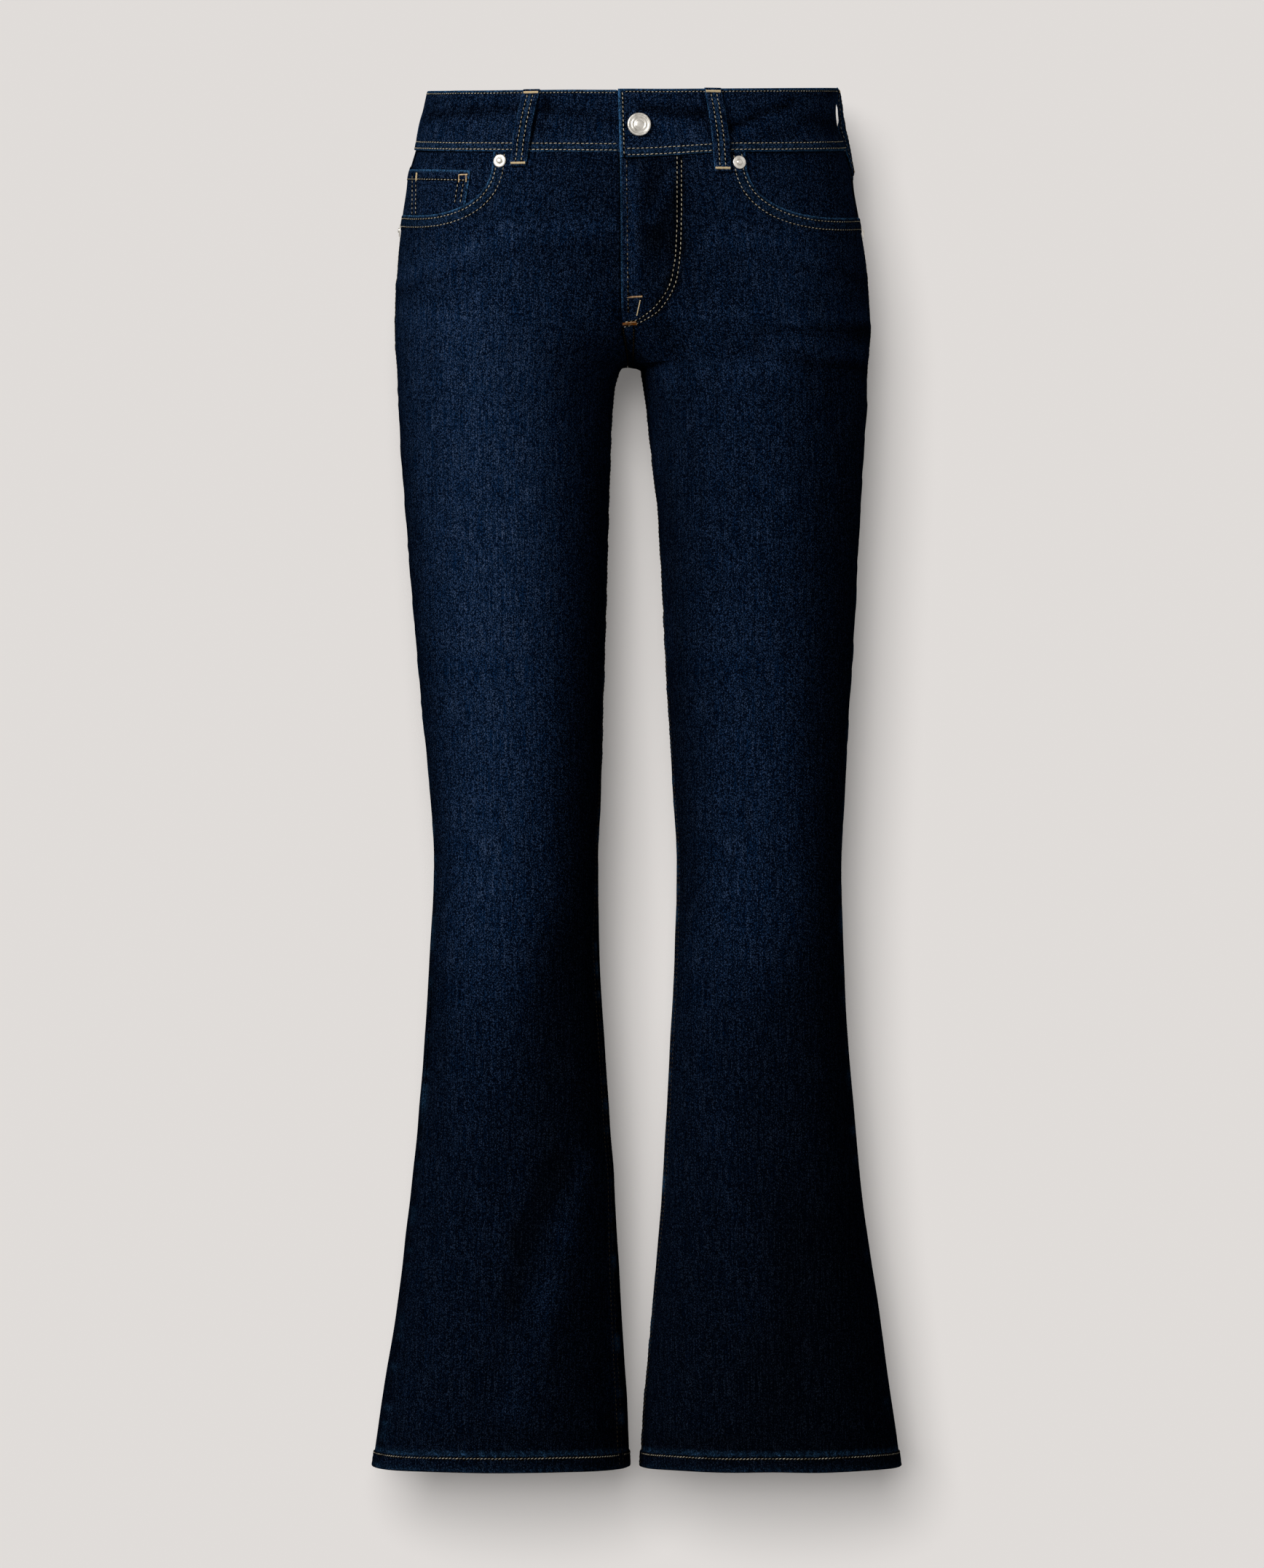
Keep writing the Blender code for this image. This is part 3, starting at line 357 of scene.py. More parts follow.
def soften_crotch(leg, panel):
    """Away from the crotch point itself, the sharp change of section at its height is eased."""
    rows = np.flatnonzero(np.abs(HEIGHTS - CROTCH_HEIGHT) < CROTCH_REACH + 14)
    old = POINTS[leg, panel]
    new = old.copy()
    gaps = np.gradient(HEIGHTS)[rows]
    for row in rows[np.abs(HEIGHTS[rows] - CROTCH_HEIGHT) < CROTCH_REACH]:
        x = old[row, :, 0]
        weights = np.exp(-0.5 * ((HEIGHTS[rows] - HEIGHTS[row]) / CROTCH_SOFTNESS) ** 2) * gaps
        depths = [np.interp(SIGN[leg] * x, SIGN[leg] * old[other, :, 0], old[other, :, 1])
                  for other in rows]
        smooth = (weights[:, None] * depths).sum(0) / weights.sum()
        inside = np.abs(x - CROTCH_X)
        outside = np.abs(x - old[row, -1, 0])
        keep = ease((inside - 17) / 18) * ease((outside - 12) / 30)
        keep *= ease((CROTCH_REACH - abs(HEIGHTS[row] - CROTCH_HEIGHT)) / 14)
        new[row, :, 1] += (smooth - old[row, :, 1]) * keep
    POINTS[leg, panel] = new


for key in list(POINTS):
    soften_crotch(*key)


# %% Directions straight out of the cloth
def beyond_row(leg, panel, row, distances):
    """Points of one row at distances that may run past either seam onto the next panel."""
    other_panel = "back" if panel == "front" else "front"
    parted = HEIGHTS[row] < CROTCH_HEIGHT
    inner = (leg, other_panel) if parted else ("left" if leg == "right" else "right", panel)
    outer = (leg, other_panel)
    steps = np.linspace(0, 1, ACROSS_STEPS + 1)
    whole = WHOLE[leg, panel][row]
    lengths = np.concatenate([-steps[:0:-1] * WHOLE[inner][row], steps * whole,
                              whole + (1 - steps[-2::-1]) * WHOLE[outer][row]])
    points = np.concatenate([POINTS[inner][row][:0:-1], POINTS[leg, panel][row],
                             POINTS[outer][row][-2::-1]])
    return along(points, lengths, distances)


def fill_normals(leg, panel):
    points = POINTS[leg, panel]
    first_below = np.searchsorted(HEIGHTS, CROTCH_HEIGHT) - 1
    normals = np.zeros(points.shape[:2] + (3,))
    steps = np.linspace(0, 1, ACROSS_STEPS + 1)
    for row, height in enumerate(HEIGHTS):
        distances = steps * WHOLE[leg, panel][row]
        around = (beyond_row(leg, panel, row, distances + 3)
                  - beyond_row(leg, panel, row, distances - 3))
        reach = 0.4 if abs(height - CROTCH_HEIGHT) < 12 else 3.0
        low, high = np.searchsorted(HEIGHTS, [height - reach, height + reach])
        low, high = max(low, 0), min(high, len(HEIGHTS) - 1)
        if row <= first_below:
            high = max(min(high, first_below), min(row + 1, first_below))
        else:
            low = min(max(low, first_below + 1), max(row - 1, first_below + 1))
        rise = points[high] - points[low]
        run = max(HEIGHTS[high] - HEIGHTS[low], 1e-6)
        up = np.concatenate([rise / run, np.ones((len(rise), 1))], 1)
        side_on = np.concatenate([around, np.zeros((len(around), 1))], 1)
        normal = np.cross(side_on, up) * -SIGN[leg] * (-1 if panel == "front" else 1)
        normals[row] = unit(normal)
    # The section changes fast at the crotch's own height. Further out, the directions there are
    # drawn from the cloth 6 mm below and above.
    low, high = np.searchsorted(HEIGHTS, [CROTCH_HEIGHT - 6, CROTCH_HEIGHT + 6])
    for row in range(low + 1, high):
        x = points[row, :, 0]
        t = (HEIGHTS[row] - HEIGHTS[low]) / (HEIGHTS[high] - HEIGHTS[low])
        near = [np.stack([np.interp(SIGN[leg] * x, SIGN[leg] * points[end, :, 0],
                                    normals[end, :, axis]) for axis in range(3)], 1)
                for end in (low, high)]
        keep = ease((np.abs(x - CROTCH_X) - 12) / 10)[:, None]
        normals[row] += (near[0] * (1 - t) + near[1] * t - normals[row]) * keep
    return normals


NORMALS = {key: fill_normals(*key) for key in POINTS}
print("out of the right front at mid-thigh:", NORMALS["right", "front"][300, 160].round(2))


# %% Looking a place up
def matched(*values):
    """The values as arrays of floats of one shape."""
    return np.broadcast_arrays(*[np.asarray(value, float) for value in values])


def rows_of(height):
    height = np.clip(height, HEIGHTS[0], HEIGHTS[-1])
    row = np.clip(np.searchsorted(HEIGHTS, height, side="right") - 1, 0, len(HEIGHTS) - 2)
    return row, (height - HEIGHTS[row]) / (HEIGHTS[row + 1] - HEIGHTS[row])


def row_value(values, height):
    row, t = rows_of(height)
    return values[row] * (1 - t) + values[row + 1] * t


def lookup(table, height, share):
    row, t = rows_of(height)
    place = np.clip(share, 0.0, 1.0) * ACROSS_STEPS
    column = np.minimum(place.astype(int), ACROSS_STEPS - 1)
    s = (place - column)[..., None]
    t = t[..., None]
    return ((table[row, column] * (1 - s) + table[row, column + 1] * s) * (1 - t)
            + (table[row + 1, column] * (1 - s) + table[row + 1, column + 1] * s) * t)


def girth(leg, panel, height):
    return row_value(WHOLE[leg, panel], np.asarray(height, float))


def to_crease(leg, panel, height):
    return row_value(CREASE[leg, panel], np.asarray(height, float))


def distance_of(leg, panel, height, across):
    """Distance from the inner seam for a share across the panel: 0.5 is its crease line."""
    height, across = matched(height, across)
    crease = to_crease(leg, panel, height)
    straight = row_value(STRAIGHT[leg, panel], height)
    inner = np.clip(1 - across / 0.5, 0.0, 1.0)
    extended = straight * inner + (crease - straight) * inner ** 3
    keep = 1 - ease((EXTENSION_TOP - height) / EXTENSION_FADE)
    reach = crease * inner + (extended - crease * inner) * keep
    outer = crease + (girth(leg, panel, height) - crease) * (across - 0.5) / 0.5
    return np.where(across < 0.5, crease - reach, outer)


def share_where(test, shape):
    """The share from 0 to 1 up to which test(share) holds, found by halving."""
    low, high = np.zeros(shape), np.ones(shape)
    for _ in range(26):
        middle = (low + high) / 2
        below = test(middle)
        low = np.where(below, middle, low)
        high = np.where(below, high, middle)
    return (low + high) / 2


def across_of(leg, panel, height, distance):
    height, distance = matched(height, distance)
    return share_where(lambda a: distance_of(leg, panel, height, a) < distance, height.shape)


def flat_point(leg, panel, height, distance):
    height, distance = matched(height, distance)
    flat = lookup(POINTS[leg, panel], height, distance / girth(leg, panel, height))
    return np.concatenate([flat, height[..., None]], -1)


def distance_at_x(leg, panel, height, x):
    height, x = matched(height, x)
    whole = girth(leg, panel, height)
    share = share_where(lambda s: (flat_point(leg, panel, height, s * whole)[..., 0] - x)
                        * SIGN[leg] < 0, height.shape)
    return share * whole


print("thigh round the right leg:",
      round(float(girth("right", "front", -300) + girth("right", "back", -300)), 1), "mm")

# %% [markdown]
# ## Small unevenness
# No denim is smooth. Seams pucker, because the thread is shorter than the cloth, and the faces
# between them sway by half a millimetre. A smooth noise worked out from a place's own position
# gives that: two panels that meet get the same value, so nothing opens at a seam.


# %% Noise and relief
def lattice(cells, seed):
    """A value from -1 to 1 for each whole-number cell, always the same for the same cell."""
    mixed = np.full(cells.shape[:-1], seed * 7919 + 17, np.int64)
    for axis, prime in zip(range(cells.shape[-1]), (73856093, 19349663, 83492791)):
        mixed = (mixed ^ (cells[..., axis].astype(np.int64) * prime)) % 2147483647
        mixed = mixed * 48271 % 2147483647
    return mixed / 1073741823.5 - 1


def noise(places, size, seed):
    """Smooth noise from -1 to 1 at places with one to three coordinates."""
    places = np.asarray(places, float) / size
    base = np.floor(places)
    t = places - base
    t = t * t * (3 - 2 * t)
    axes = places.shape[-1]
    total = np.zeros(places.shape[:-1])
    for corner in range(2 ** axes):
        offset = np.array([(corner >> axis) & 1 for axis in range(axes)])
        weight = np.prod(np.where(offset, t, 1 - t), axis=-1)
        total += weight * lattice(base + offset, seed)
    return total


PUCKER_WIDTH = 8.0
SEAM_SEED = {"right": 11, "left": 21}      # of the side seam's puckers; the inseam's is 5 more


def seam_ripple(height, seed):
    """Puckers along a seam: uneven ripples about 9 mm long."""
    height = np.asarray(height, float)[..., None]
    return 0.65 * noise(height, 5.2, seed) + 0.35 * noise(height, 13.0, seed + 1)


# More creases, too slight for the solids: whiskers at the hips and soft breaks at the knees.
CREASES = {
    ("right", "front"): (
        (-168, -112, -128, -100, 0.8, 5), (-172, -170, -120, -150, 0.7, 5),
        (-46, -560, -112, -540, 0.8, 9), (-34, -762, -47, -813, -0.7, 7),
        (-47, -813, -85, -939, -0.7, 8), (-54, -766, -91, -870, 0.8, 8),
        (-150, -640, -140, -820, 1, 9), (-60, -830, -78, -960, 1, 8)),
    ("left", "front"): (
        (170, -112, 124, -98, 0.7, 5), (168, -180, 112, -168, 0.9, 6), (40, -200, 88, -176, 0.8, 7),
        (107, -153, 176, -143, -1, 8), (60, -548, 128, -560, 0.8, 9), (60, -700, 48, -860, 0.9, 9),
        (118, -760, 122, -930, 1, 8)),
    ("right", "back"): (
        (-60, -240, -130, -226, 1, 6), (-44, -505, -130, -512, 0.9, 6),
        (-50, -590, -110, -584, 0.8, 7), (-130, -720, -150, -900, 1, 9)),
    ("left", "back"): (
        (56, -240, 132, -226, 1, 6), (50, -508, 138, -504, 0.9, 6), (58, -588, 120, -594, 0.8, 7),
        (140, -740, 160, -920, 1, 9)),
}


def relief(leg, panel, height, distance, point):
    """How far the cloth stands out of, or dips under, its smooth form."""
    height, distance = matched(height, distance)
    sway = 0.50 * noise(point, 62.0, 3) + 0.22 * noise(point, 24.0, 4)
    sway *= ease((-30 - height) / 60)
    sway -= fold_depth(CREASES, leg, panel, point[..., 0], height)
    side = girth(leg, panel, height) - distance
    seed = SEAM_SEED[leg]
    side_on = ease((-92 - height) / 20)
    pucker = 0.55 * seam_ripple(height, seed) * bell(side, PUCKER_WIDTH) * side_on
    parted = ease((CROTCH_HEIGHT - 4 - height) / 20)
    pucker += 0.5 * seam_ripple(height, seed + 5) * bell(distance, PUCKER_WIDTH) * parted
    return sway + pucker


def place(leg, panel, height, distance, raised=0.0):
    """A point "raised" mm out of the cloth, and the direction straight out of it there."""
    height, distance = matched(height, distance)
    share = distance / girth(leg, panel, height)
    point = flat_point(leg, panel, height, distance)
    normal = unit(lookup(NORMALS[leg, panel], height, share))
    out = relief(leg, panel, height, distance, point) + raised
    return point + normal * np.asarray(out)[..., None], normal


middle_of_thigh, _ = place("right", "front", -300.0, 90.0)
print("a place on the right thigh:", middle_of_thigh.round(1))

# %% [markdown]
# ## Camera and stage
# The garment is looked at from straight in front, from 7.5 m away with a long lens, so that the
# legs hardly taper with distance. Behind it hangs a pale backdrop that takes a soft shadow. It
# is clear from behind, so that the back of the garment can be looked at too.

# %% Camera
SCENE = bpy.context.scene
SCENE.view_settings.view_transform = "Standard"
CAMERA_AWAY, CAMERA_HEIGHT = 7500.0, -485.6     # mm in front of the origin, and up from it
VIEW_WIDTH, VIEW_HEIGHT = 1736, 2154            # dots across and down the front view
MM_PER_DOT = 0.533
bpy.ops.object.camera_add(location=(0, -CAMERA_AWAY * MM, CAMERA_HEIGHT * MM),
                          rotation=(math.pi / 2, 0, 0))
camera = bpy.context.object
camera.data.sensor_fit = "HORIZONTAL"
camera.data.sensor_width = 36.0
camera.data.lens = 36.0 * CAMERA_AWAY / (VIEW_WIDTH * MM_PER_DOT)
camera.data.clip_end = 100.0
SCENE.camera = camera
print("lens:", round(camera.data.lens, 1), "mm")


# %% Node and colour helpers
def linear(code):
    """A colour given as an sRGB hex code, in the linear values that Blender shades with."""
    channels = [int(code[i:i + 2], 16) / 255 for i in (1, 3, 5)]
    return tuple(c / 12.92 if c <= 0.04045 else ((c + 0.055) / 1.055) ** 2.4
                 for c in channels) + (1.0,)


def new_material(name):
    material = bpy.data.materials.new(name)
    material.use_nodes = True
    nodes = material.node_tree.nodes
    return material, nodes["Principled BSDF"]


def add(material, kind, settings=(), **sockets):
    """Adds a node. Settings are its own options; sockets are values, or sockets to link from."""
    node = material.node_tree.nodes.new("ShaderNode" + kind)
    for name, value in dict(settings).items():
        setattr(node, name, value)
    for name, value in sockets.items():
        numbered = name[1:].isdigit()
        socket = node.inputs[int(name[1:]) if numbered else name.replace("_", " ")]
        if isinstance(value, bpy.types.NodeSocket):
            material.node_tree.links.new(value, socket)
        else:
            socket.default_value = value
    return node.outputs


def deselect():
    bpy.ops.object.select_all(action="DESELECT")


print("faded indigo in linear light:", [round(channel, 4) for channel in linear("#112e52")[:3]])


# %% [markdown]
# ## Denim
# The fade amount also carries painted light and shade: paler where light falls, darker in shade.
# Denim is a cotton twill: the lengthwise yarns are dyed with indigo, the crosswise ones are
# white, and each row of the weave steps over by one yarn, which draws fine diagonals. Uneven
# yarns, called slubs, show as short upright streaks. Washing takes dye first from what stands
# proud: the middle of the thighs, the seams' ridges and the edges. The cloth is matt and very
# dark, so its colour is a mix by two painted amounts, "fade" and "rub", broken up by the yarns.
# All patterns run on the cloth's own coordinates, in metres along and across the grain.

# %% Denim material
# The real yarns lie 0.4 mm apart and the diagonals 1 mm: too fine to show on the whole garment,
# so both patterns are drawn a little coarser. They give the cloth its fine, speckled grain.
TWILL = (1.26, 2.5)     # mm from one diagonal to the next, across and along
FLOAT = (0.53, 0.64)    # mm, one yarn's run over the face before it dips under
SLUB = (0.75, 26.0)     # width and length in mm of a yarn's thick stretch
STREAK = (3.2, 120.0)   # the same of a long, faint streak
TIMES, TIMES_PLUS = {"operation": "MULTIPLY"}, {"operation": "MULTIPLY_ADD"}
DOT, WHOLE_PART = {"operation": "DOT_PRODUCT"}, {"operation": "FLOOR"}
CLAMPED = {"operation": "MULTIPLY", "use_clamp": True}
FLAT, BLEND = {"noise_dimensions": "2D"}, {"data_type": "RGBA", "clamp_factor": True}


def denim(name, indigo, faded, worn, weft):
    """Indigo twill; the four colours are unworn, faded, rubbed through, and the white yarn."""
    material, shader = new_material(name)
    node = functools.partial(add, material)
    grain = node("UVMap", {"uv_map": "grain"})[0]
    mm = node("VectorMath", {"operation": "SCALE"}, Vector=grain, Scale=1000.0)[0]
    # Besides the wash, this amount carries painted light and shade.
    fade = node("Attribute", {"attribute_name": "fade"})[2]
    rub = node("Attribute", {"attribute_name": "rub"})[2]
    # Uneven yarns: noise drawn out along the grain, in long streaks and in short slubs.
    drawn_out = node("VectorMath", TIMES, _0=mm, _1=(1 / STREAK[0], 1 / STREAK[1], 1))[0]
    streaks = node("TexNoise", FLAT, Vector=drawn_out, Scale=1.0, Detail=2.0)[0]
    drawn_out = node("VectorMath", TIMES, _0=mm, _1=(1 / SLUB[0], 1 / SLUB[1], 1))[0]
    slubs = node("TexNoise", FLAT, Vector=drawn_out, Scale=1.0, Detail=1.0)[0]
    cloud = node("TexNoise", FLAT, Vector=mm, Scale=0.045, Detail=3.0)[0]
    # Each float of the weave is a small cell that catches the light in its own way.
    cell = node("VectorMath", TIMES, _0=mm, _1=(1 / FLOAT[0], 1 / FLOAT[1], 1))[0]
    yarn = node("VectorMath", WHOLE_PART, _0=cell)[0]
    step = node("VectorMath", DOT, _0=yarn, _1=(-0.618, 0, 0))[1]
    step = node("CombineXYZ", (), Y=step)[0]
    cell = node("VectorMath", (), _0=cell, _1=step)[0]
    cell = node("VectorMath", WHOLE_PART, _0=cell)[0]
    floats = node("TexWhiteNoise", FLAT, Vector=cell)[0]
    # The twill's diagonals rise to the right, and the yarns' unevenness makes them waver.
    slant = node("VectorMath", DOT, _0=mm,
                 _1=(2 * math.pi / TWILL[0], -2 * math.pi / TWILL[1], 0))[1]
    slant = node("Math", TIMES_PLUS, _0=slubs, _1=3.0, _2=slant)[0]
    wave = node("Math", {"operation": "SINE"}, _0=slant)[0]
    crest = node("Math", TIMES_PLUS, _0=wave, _1=0.5, _2=0.5)[0]
    bright = node("Math", {"operation": "POWER"}, _0=floats, _1=4.0)[0]
    lit = node("Math", TIMES_PLUS, _0=bright, _1=4.0, _2=0.02)[0]
    lit = node("Math", TIMES_PLUS, _0=crest, _1=0.36, _2=lit)[0]

    # How much dye the wash has taken, broken up by the yarns.
    uneven = node("Math", TIMES_PLUS, _0=slubs, _1=0.45, _2=0.375)[0]
    uneven = node("Math", TIMES_PLUS, _0=streaks, _1=0.8, _2=uneven)[0]
    washed = node("Math", TIMES, _0=fade, _1=uneven)[0]
    patch = node("Math", TIMES_PLUS, _0=cloud, _1=0.5, _2=0.75)[0]
    washed = node("Math", CLAMPED, _0=washed, _1=patch)[0]
    light = node("Math", TIMES, _0=lit, _1=washed)[0]
    body = node("Mix", BLEND, _0=light, _6=linear(indigo), _7=linear(faded))[2]
    # White yarn peeps out between the floats, most where the dye has gone.
    peep = node("Math", {"operation": "POWER"}, _0=floats, _1=5.0)[0]
    line = node("Math", TIMES_PLUS, _0=slubs, _1=5.5, _2=-1.9)[0]
    peep = node("Math", CLAMPED, _0=peep, _1=line)[0]
    shown = node("Math", TIMES_PLUS, _0=washed, _1=0.26, _2=0.030)[0]
    peep = node("Math", TIMES, _0=peep, _1=shown)[0]
    body = node("Mix", BLEND, _0=peep, _6=body, _7=linear(weft))[2]
    # Rubbed edges: patchy, and palest on the yarns that stand proud.
    patchy = node("TexNoise", FLAT, Vector=mm, Scale=0.55, Detail=2.0, Roughness=0.6)[0]
    patchy = node("Math", TIMES_PLUS, _0=patchy, _1=2.2, _2=-0.4)[0]
    patchy = node("Math", TIMES, _0=patchy, _1=rub)[0]
    proud = node("Math", TIMES_PLUS, _0=lit, _1=0.5, _2=0.4)[0]
    patchy = node("Math", TIMES, _0=patchy, _1=proud)[0]
    body = node("Mix", BLEND, _0=patchy, _6=body, _7=linear(worn))[2]
    links = material.node_tree.links
    links.new(body, shader.inputs["Base Color"])
    shader.inputs["Roughness"].default_value = 0.92
    shader.inputs["Specular IOR Level"].default_value = 0.0
    height = node("Math", TIMES_PLUS, _0=slubs, _1=1.0, _2=crest)[0]
    bump = node("Bump", (), Height=height, Strength=0.35, Distance=0.0002)[0]
    links.new(bump, shader.inputs["Normal"])
    return material


DENIM = denim("Indigo stretch denim, right-hand twill", "#010308", "#112e52", "#4a7fb0", "#8b9ebd")
# The inner face shows more of the undyed crosswise yarn, so it is paler and greyer.
DENIM_INSIDE = denim("Indigo denim, inner face", "#1b232e", "#333f4e", "#4f5f73", "#7c8896")
print("denim materials:", DENIM.name, "/", DENIM_INSIDE.name)

# %% [markdown]
# ## How faded the cloth is, with painted light
# A wash pales the middle of each thigh down to the knee and leaves the sides and lower legs
# dark. A table for each panel says how much, where across it, and how wide.
# On the lower legs the pale part is moved towards the lit side, which is painted light.

# %% Fade tables
FADE_COLUMNS = ("height", "amount", "centre", "width")
BACK_FADES = ((-990, .12, .5, .3), (-700, .3, .5, .25), (-540, .2, .5, .3), (-400, .4, .5, .28),
              (-250, .55, .5, .3), (-150, .7, .5, .34), (-60, .4, .5, .4))
FADES_AND_PAINTED_LIGHT = {
    ("right", "front"): ((-990, .055, .9, .45), (-900, .06, .85, .4), (-760, .09, .72, .36),
                         (-660, .17, .66, .28), (-560, .52, .62, .25), (-440, .60, .58, .25),
                         (-300, .76, .54, .26), (-180, .60, .54, .34), (-80, .32, .55, .5),
                         (-20, .32, .6, .6)),
    ("left", "front"): ((-990, .0, .0, .40), (-900, .015, .05, .36), (-800, .035, .12, .36),
                        (-660, .10, .30, .36), (-560, .31, .48, .26), (-440, .30, .50, .26),
                        (-300, .255, .50, .30), (-180, .24, .50, .42), (-80, .26, .50, .5),
                        (-20, .30, .5, .6)),
    ("right", "back"): BACK_FADES,
    ("left", "back"): BACK_FADES,
}
FADE_AND_LIGHT_CURVES = {key: table_curves(FADE_COLUMNS, rows) for key, rows in FADES_AND_PAINTED_LIGHT.items()}


# Pale streaks where creases rub, which is wear, and painted light and shade: darker streaks in
# crease hollows, on the lower legs' shaded sides and just above the hems, and paler ones along
# fold ridges, the inner leg edges and the crotch, where little light falls. For each row: both
# ends, amount (above 0 is darker), width in mm.
WHISKERS_AND_PAINTED_SHADING = {
    ("left", "front"): (
        (34, -33, 34, -98, 0.12, 4), (34, -98, 30, -122, 0.12, 4), (30, -122, 19, -141, 0.12, 4),
        (19, -141, 4, -152, 0.1, 4), (62, -90, 101, -94, -0.18, 5), (114, -99, 140, -107, -0.18, 5),
        (122, -111, 165, -118, 0.12, 4), (111, -120, 148, -123, -0.1, 5),
        (54, -144, 117, -149, -0.14, 5), (117, -149, 167, -144, -0.24, 4.5),
        (4, -156, 48, -157, 0.12, 4), (96, -158, 168, -154, 0.16, 4),
        (101, -164, 166, -172, -0.22, 4.5), (19, -182, 111, -185, -0.12, 5),
        (111, -179, 168, -182, 0.1, 4), (-1, -45, -1, -151, -0.3, 4),
        (30, -43, 14, -77, -0.14, 3.5), (21, -61, 19, -130, 0.04, 7), (35, -61, 38, -130, 0.04, 9),
        (19, -38, 19, -87, 0.13, 14), (17, -145, 46, -160, -0.14, 10), (2, 2, 48, 2, 0.06, 10),
        (35, -77, 35, -140, -0.05, 9), (5, -161, 19, -185, -0.13, 8), (-1, -156, 6, -182, -0.25, 8),
        (8, -190, 15, -256, -0.3, 4), (15, -256, 25, -393, -0.14, 3),
        (104, -86, 164, -102, -0.1, 12), (101, -136, 148, -137, -0.12, 12),
        (48, -198, 54, -340, 0.03, 16), (117, -182, 122, -445, 0.03, 20),
        (17, -963, 182, -963, 0.02, 5), (122, -824, 122, -950, 0.03, 30),
        (69, -740, 85, -866, -0.03, 16)),
    ("right", "front"): (
        (-168, -114, -120, -100, -0.26, 4.5), (-120, -100, -88, -88, -0.2, 4.5),
        (-94, -84, -16, -83, -0.18, 5), (-168, -125, -120, -115, 0.12, 4),
        (-168, -143, -135, -151, -0.2, 5), (-162, -132, -115, -136, 0.08, 4),
        (-112, -130, -114, -256, -0.12, 3), (-141, -165, -108, -166, 0.08, 4),
        (-28, -151, -9, -177, -0.12, 9), (-14, -158, -5, -182, -0.25, 8),
        (-9, -190, -15, -245, -0.3, 4), (-15, -245, -18, -445, -0.16, 3),
        (-36, -182, -12, -256, -0.06, 10), (-67, -193, -65, -256, 0.03, 14),
        (-115, -158, -36, -156, -0.18, 18), (-54, -766, -80, -813, 0.07, 8),
        (-80, -813, -89, -861, 0.06, 7), (-89, -861, -94, -897, 0.02, 7),
        (-34, -761, -47, -813, -0.06, 6), (-47, -813, -62, -861, -0.06, 7),
        (-62, -861, -86, -939, -0.06, 8), (-20, -782, -33, -845, -0.03, 8),
        (-12, -655, -12, -934, -0.08, 5), (-54, -603, -65, -761, 0.03, 14),
        (-94, -782, -99, -892, -0.03, 10), (-170, -960, -9, -960, 0.02, 5)),
}


def fade_and_shading_of(leg, panel, height, distance):
    """How much dye the wash has taken, from 0 to 1, with painted light and shade added in."""
    height, distance = matched(height, distance)
    curves = FADE_AND_LIGHT_CURVES[leg, panel]
    across = distance / girth(leg, panel, height)
    off = (across - curves["centre"](height)) / curves["width"](height)
    fade = curves["amount"](height) * np.exp(-off ** 2)
    x = flat_point(leg, panel, height, distance)[..., 0]
    return np.clip(0.035 + fade - fold_depth(WHISKERS_AND_PAINTED_SHADING, leg, panel, x, height), 0.012, 1.0)


print("dye taken in the middle of the right thigh:", fade_and_shading_of("right", "front", -300, 130).round(2))


# %% [markdown]
# ## Sheets of cloth
# Each cut piece is a grid of points on the surface that gets a thickness, as a real ply has. A
# grid primitive is the start: its corners are then put where the cut piece lies. Solidify gives
# the second face, which is the paler inner side of the denim.


# %% A sheet from a grid of places
def grain_of(leg, panel, height, distance):
    """Cloth coordinates in metres: across the grain from the crease, and along it."""
    side = SIGN[leg] * (1 if panel == "front" else -1)
    across = side * (distance - to_crease(leg, panel, height)) * MM
    return np.stack(matched(across, np.asarray(height, float) * MM), -1)


def sheet(name, points, normals, grain, fade, rub, thickness=CLOTH, materials=None):
    """A closed sheet of cloth from rows by columns of points in mm, with its two faces."""
    rows, columns = points.shape[:2]
    deselect()
    bpy.ops.mesh.primitive_grid_add(x_subdivisions=columns - 1, y_subdivisions=rows - 1, size=2)
    piece = bpy.context.object
    piece.name = piece.data.name = name
    mesh = piece.data
    flat = np.zeros(len(mesh.vertices) * 3)
    mesh.vertices.foreach_get("co", flat)
    flat = flat.reshape(-1, 3)
    column = np.rint((flat[:, 0] + 1) / 2 * (columns - 1)).astype(int)
    row = np.rint((1 - flat[:, 1]) / 2 * (rows - 1)).astype(int)
    mesh.vertices.foreach_set("co", (points[row, column] * MM).ravel())
    corner = np.zeros(len(mesh.loops), int)
    mesh.loops.foreach_get("vertex_index", corner)
    uv = mesh.uv_layers[0]
    uv.name = "grain"
    uv.data.foreach_set("uv", grain[row, column][corner].ravel())
    for label, values in (("fade", fade), ("rub", rub)):
        values = np.broadcast_to(values, (rows, columns))
        mesh.attributes.new(label, "FLOAT", "POINT").data.foreach_set("value", values[row, column])
    mesh.update()
    middle = np.array(mesh.polygons[len(mesh.polygons) // 2].normal)
    corners = list(mesh.polygons[len(mesh.polygons) // 2].vertices)
    if middle @ normals[row[corners[0]], column[corners[0]]] < 0:
        mesh.flip_normals()
    for material in materials or (DENIM, DENIM_INSIDE):
        mesh.materials.append(material)
    wall = piece.modifiers.new("Ply", "SOLIDIFY")
    wall.thickness = thickness * MM
    wall.offset = -1.0
    wall.material_offset = 1
    bpy.ops.object.modifier_apply(modifier=wall.name)
    bpy.ops.object.shade_smooth()
    return piece


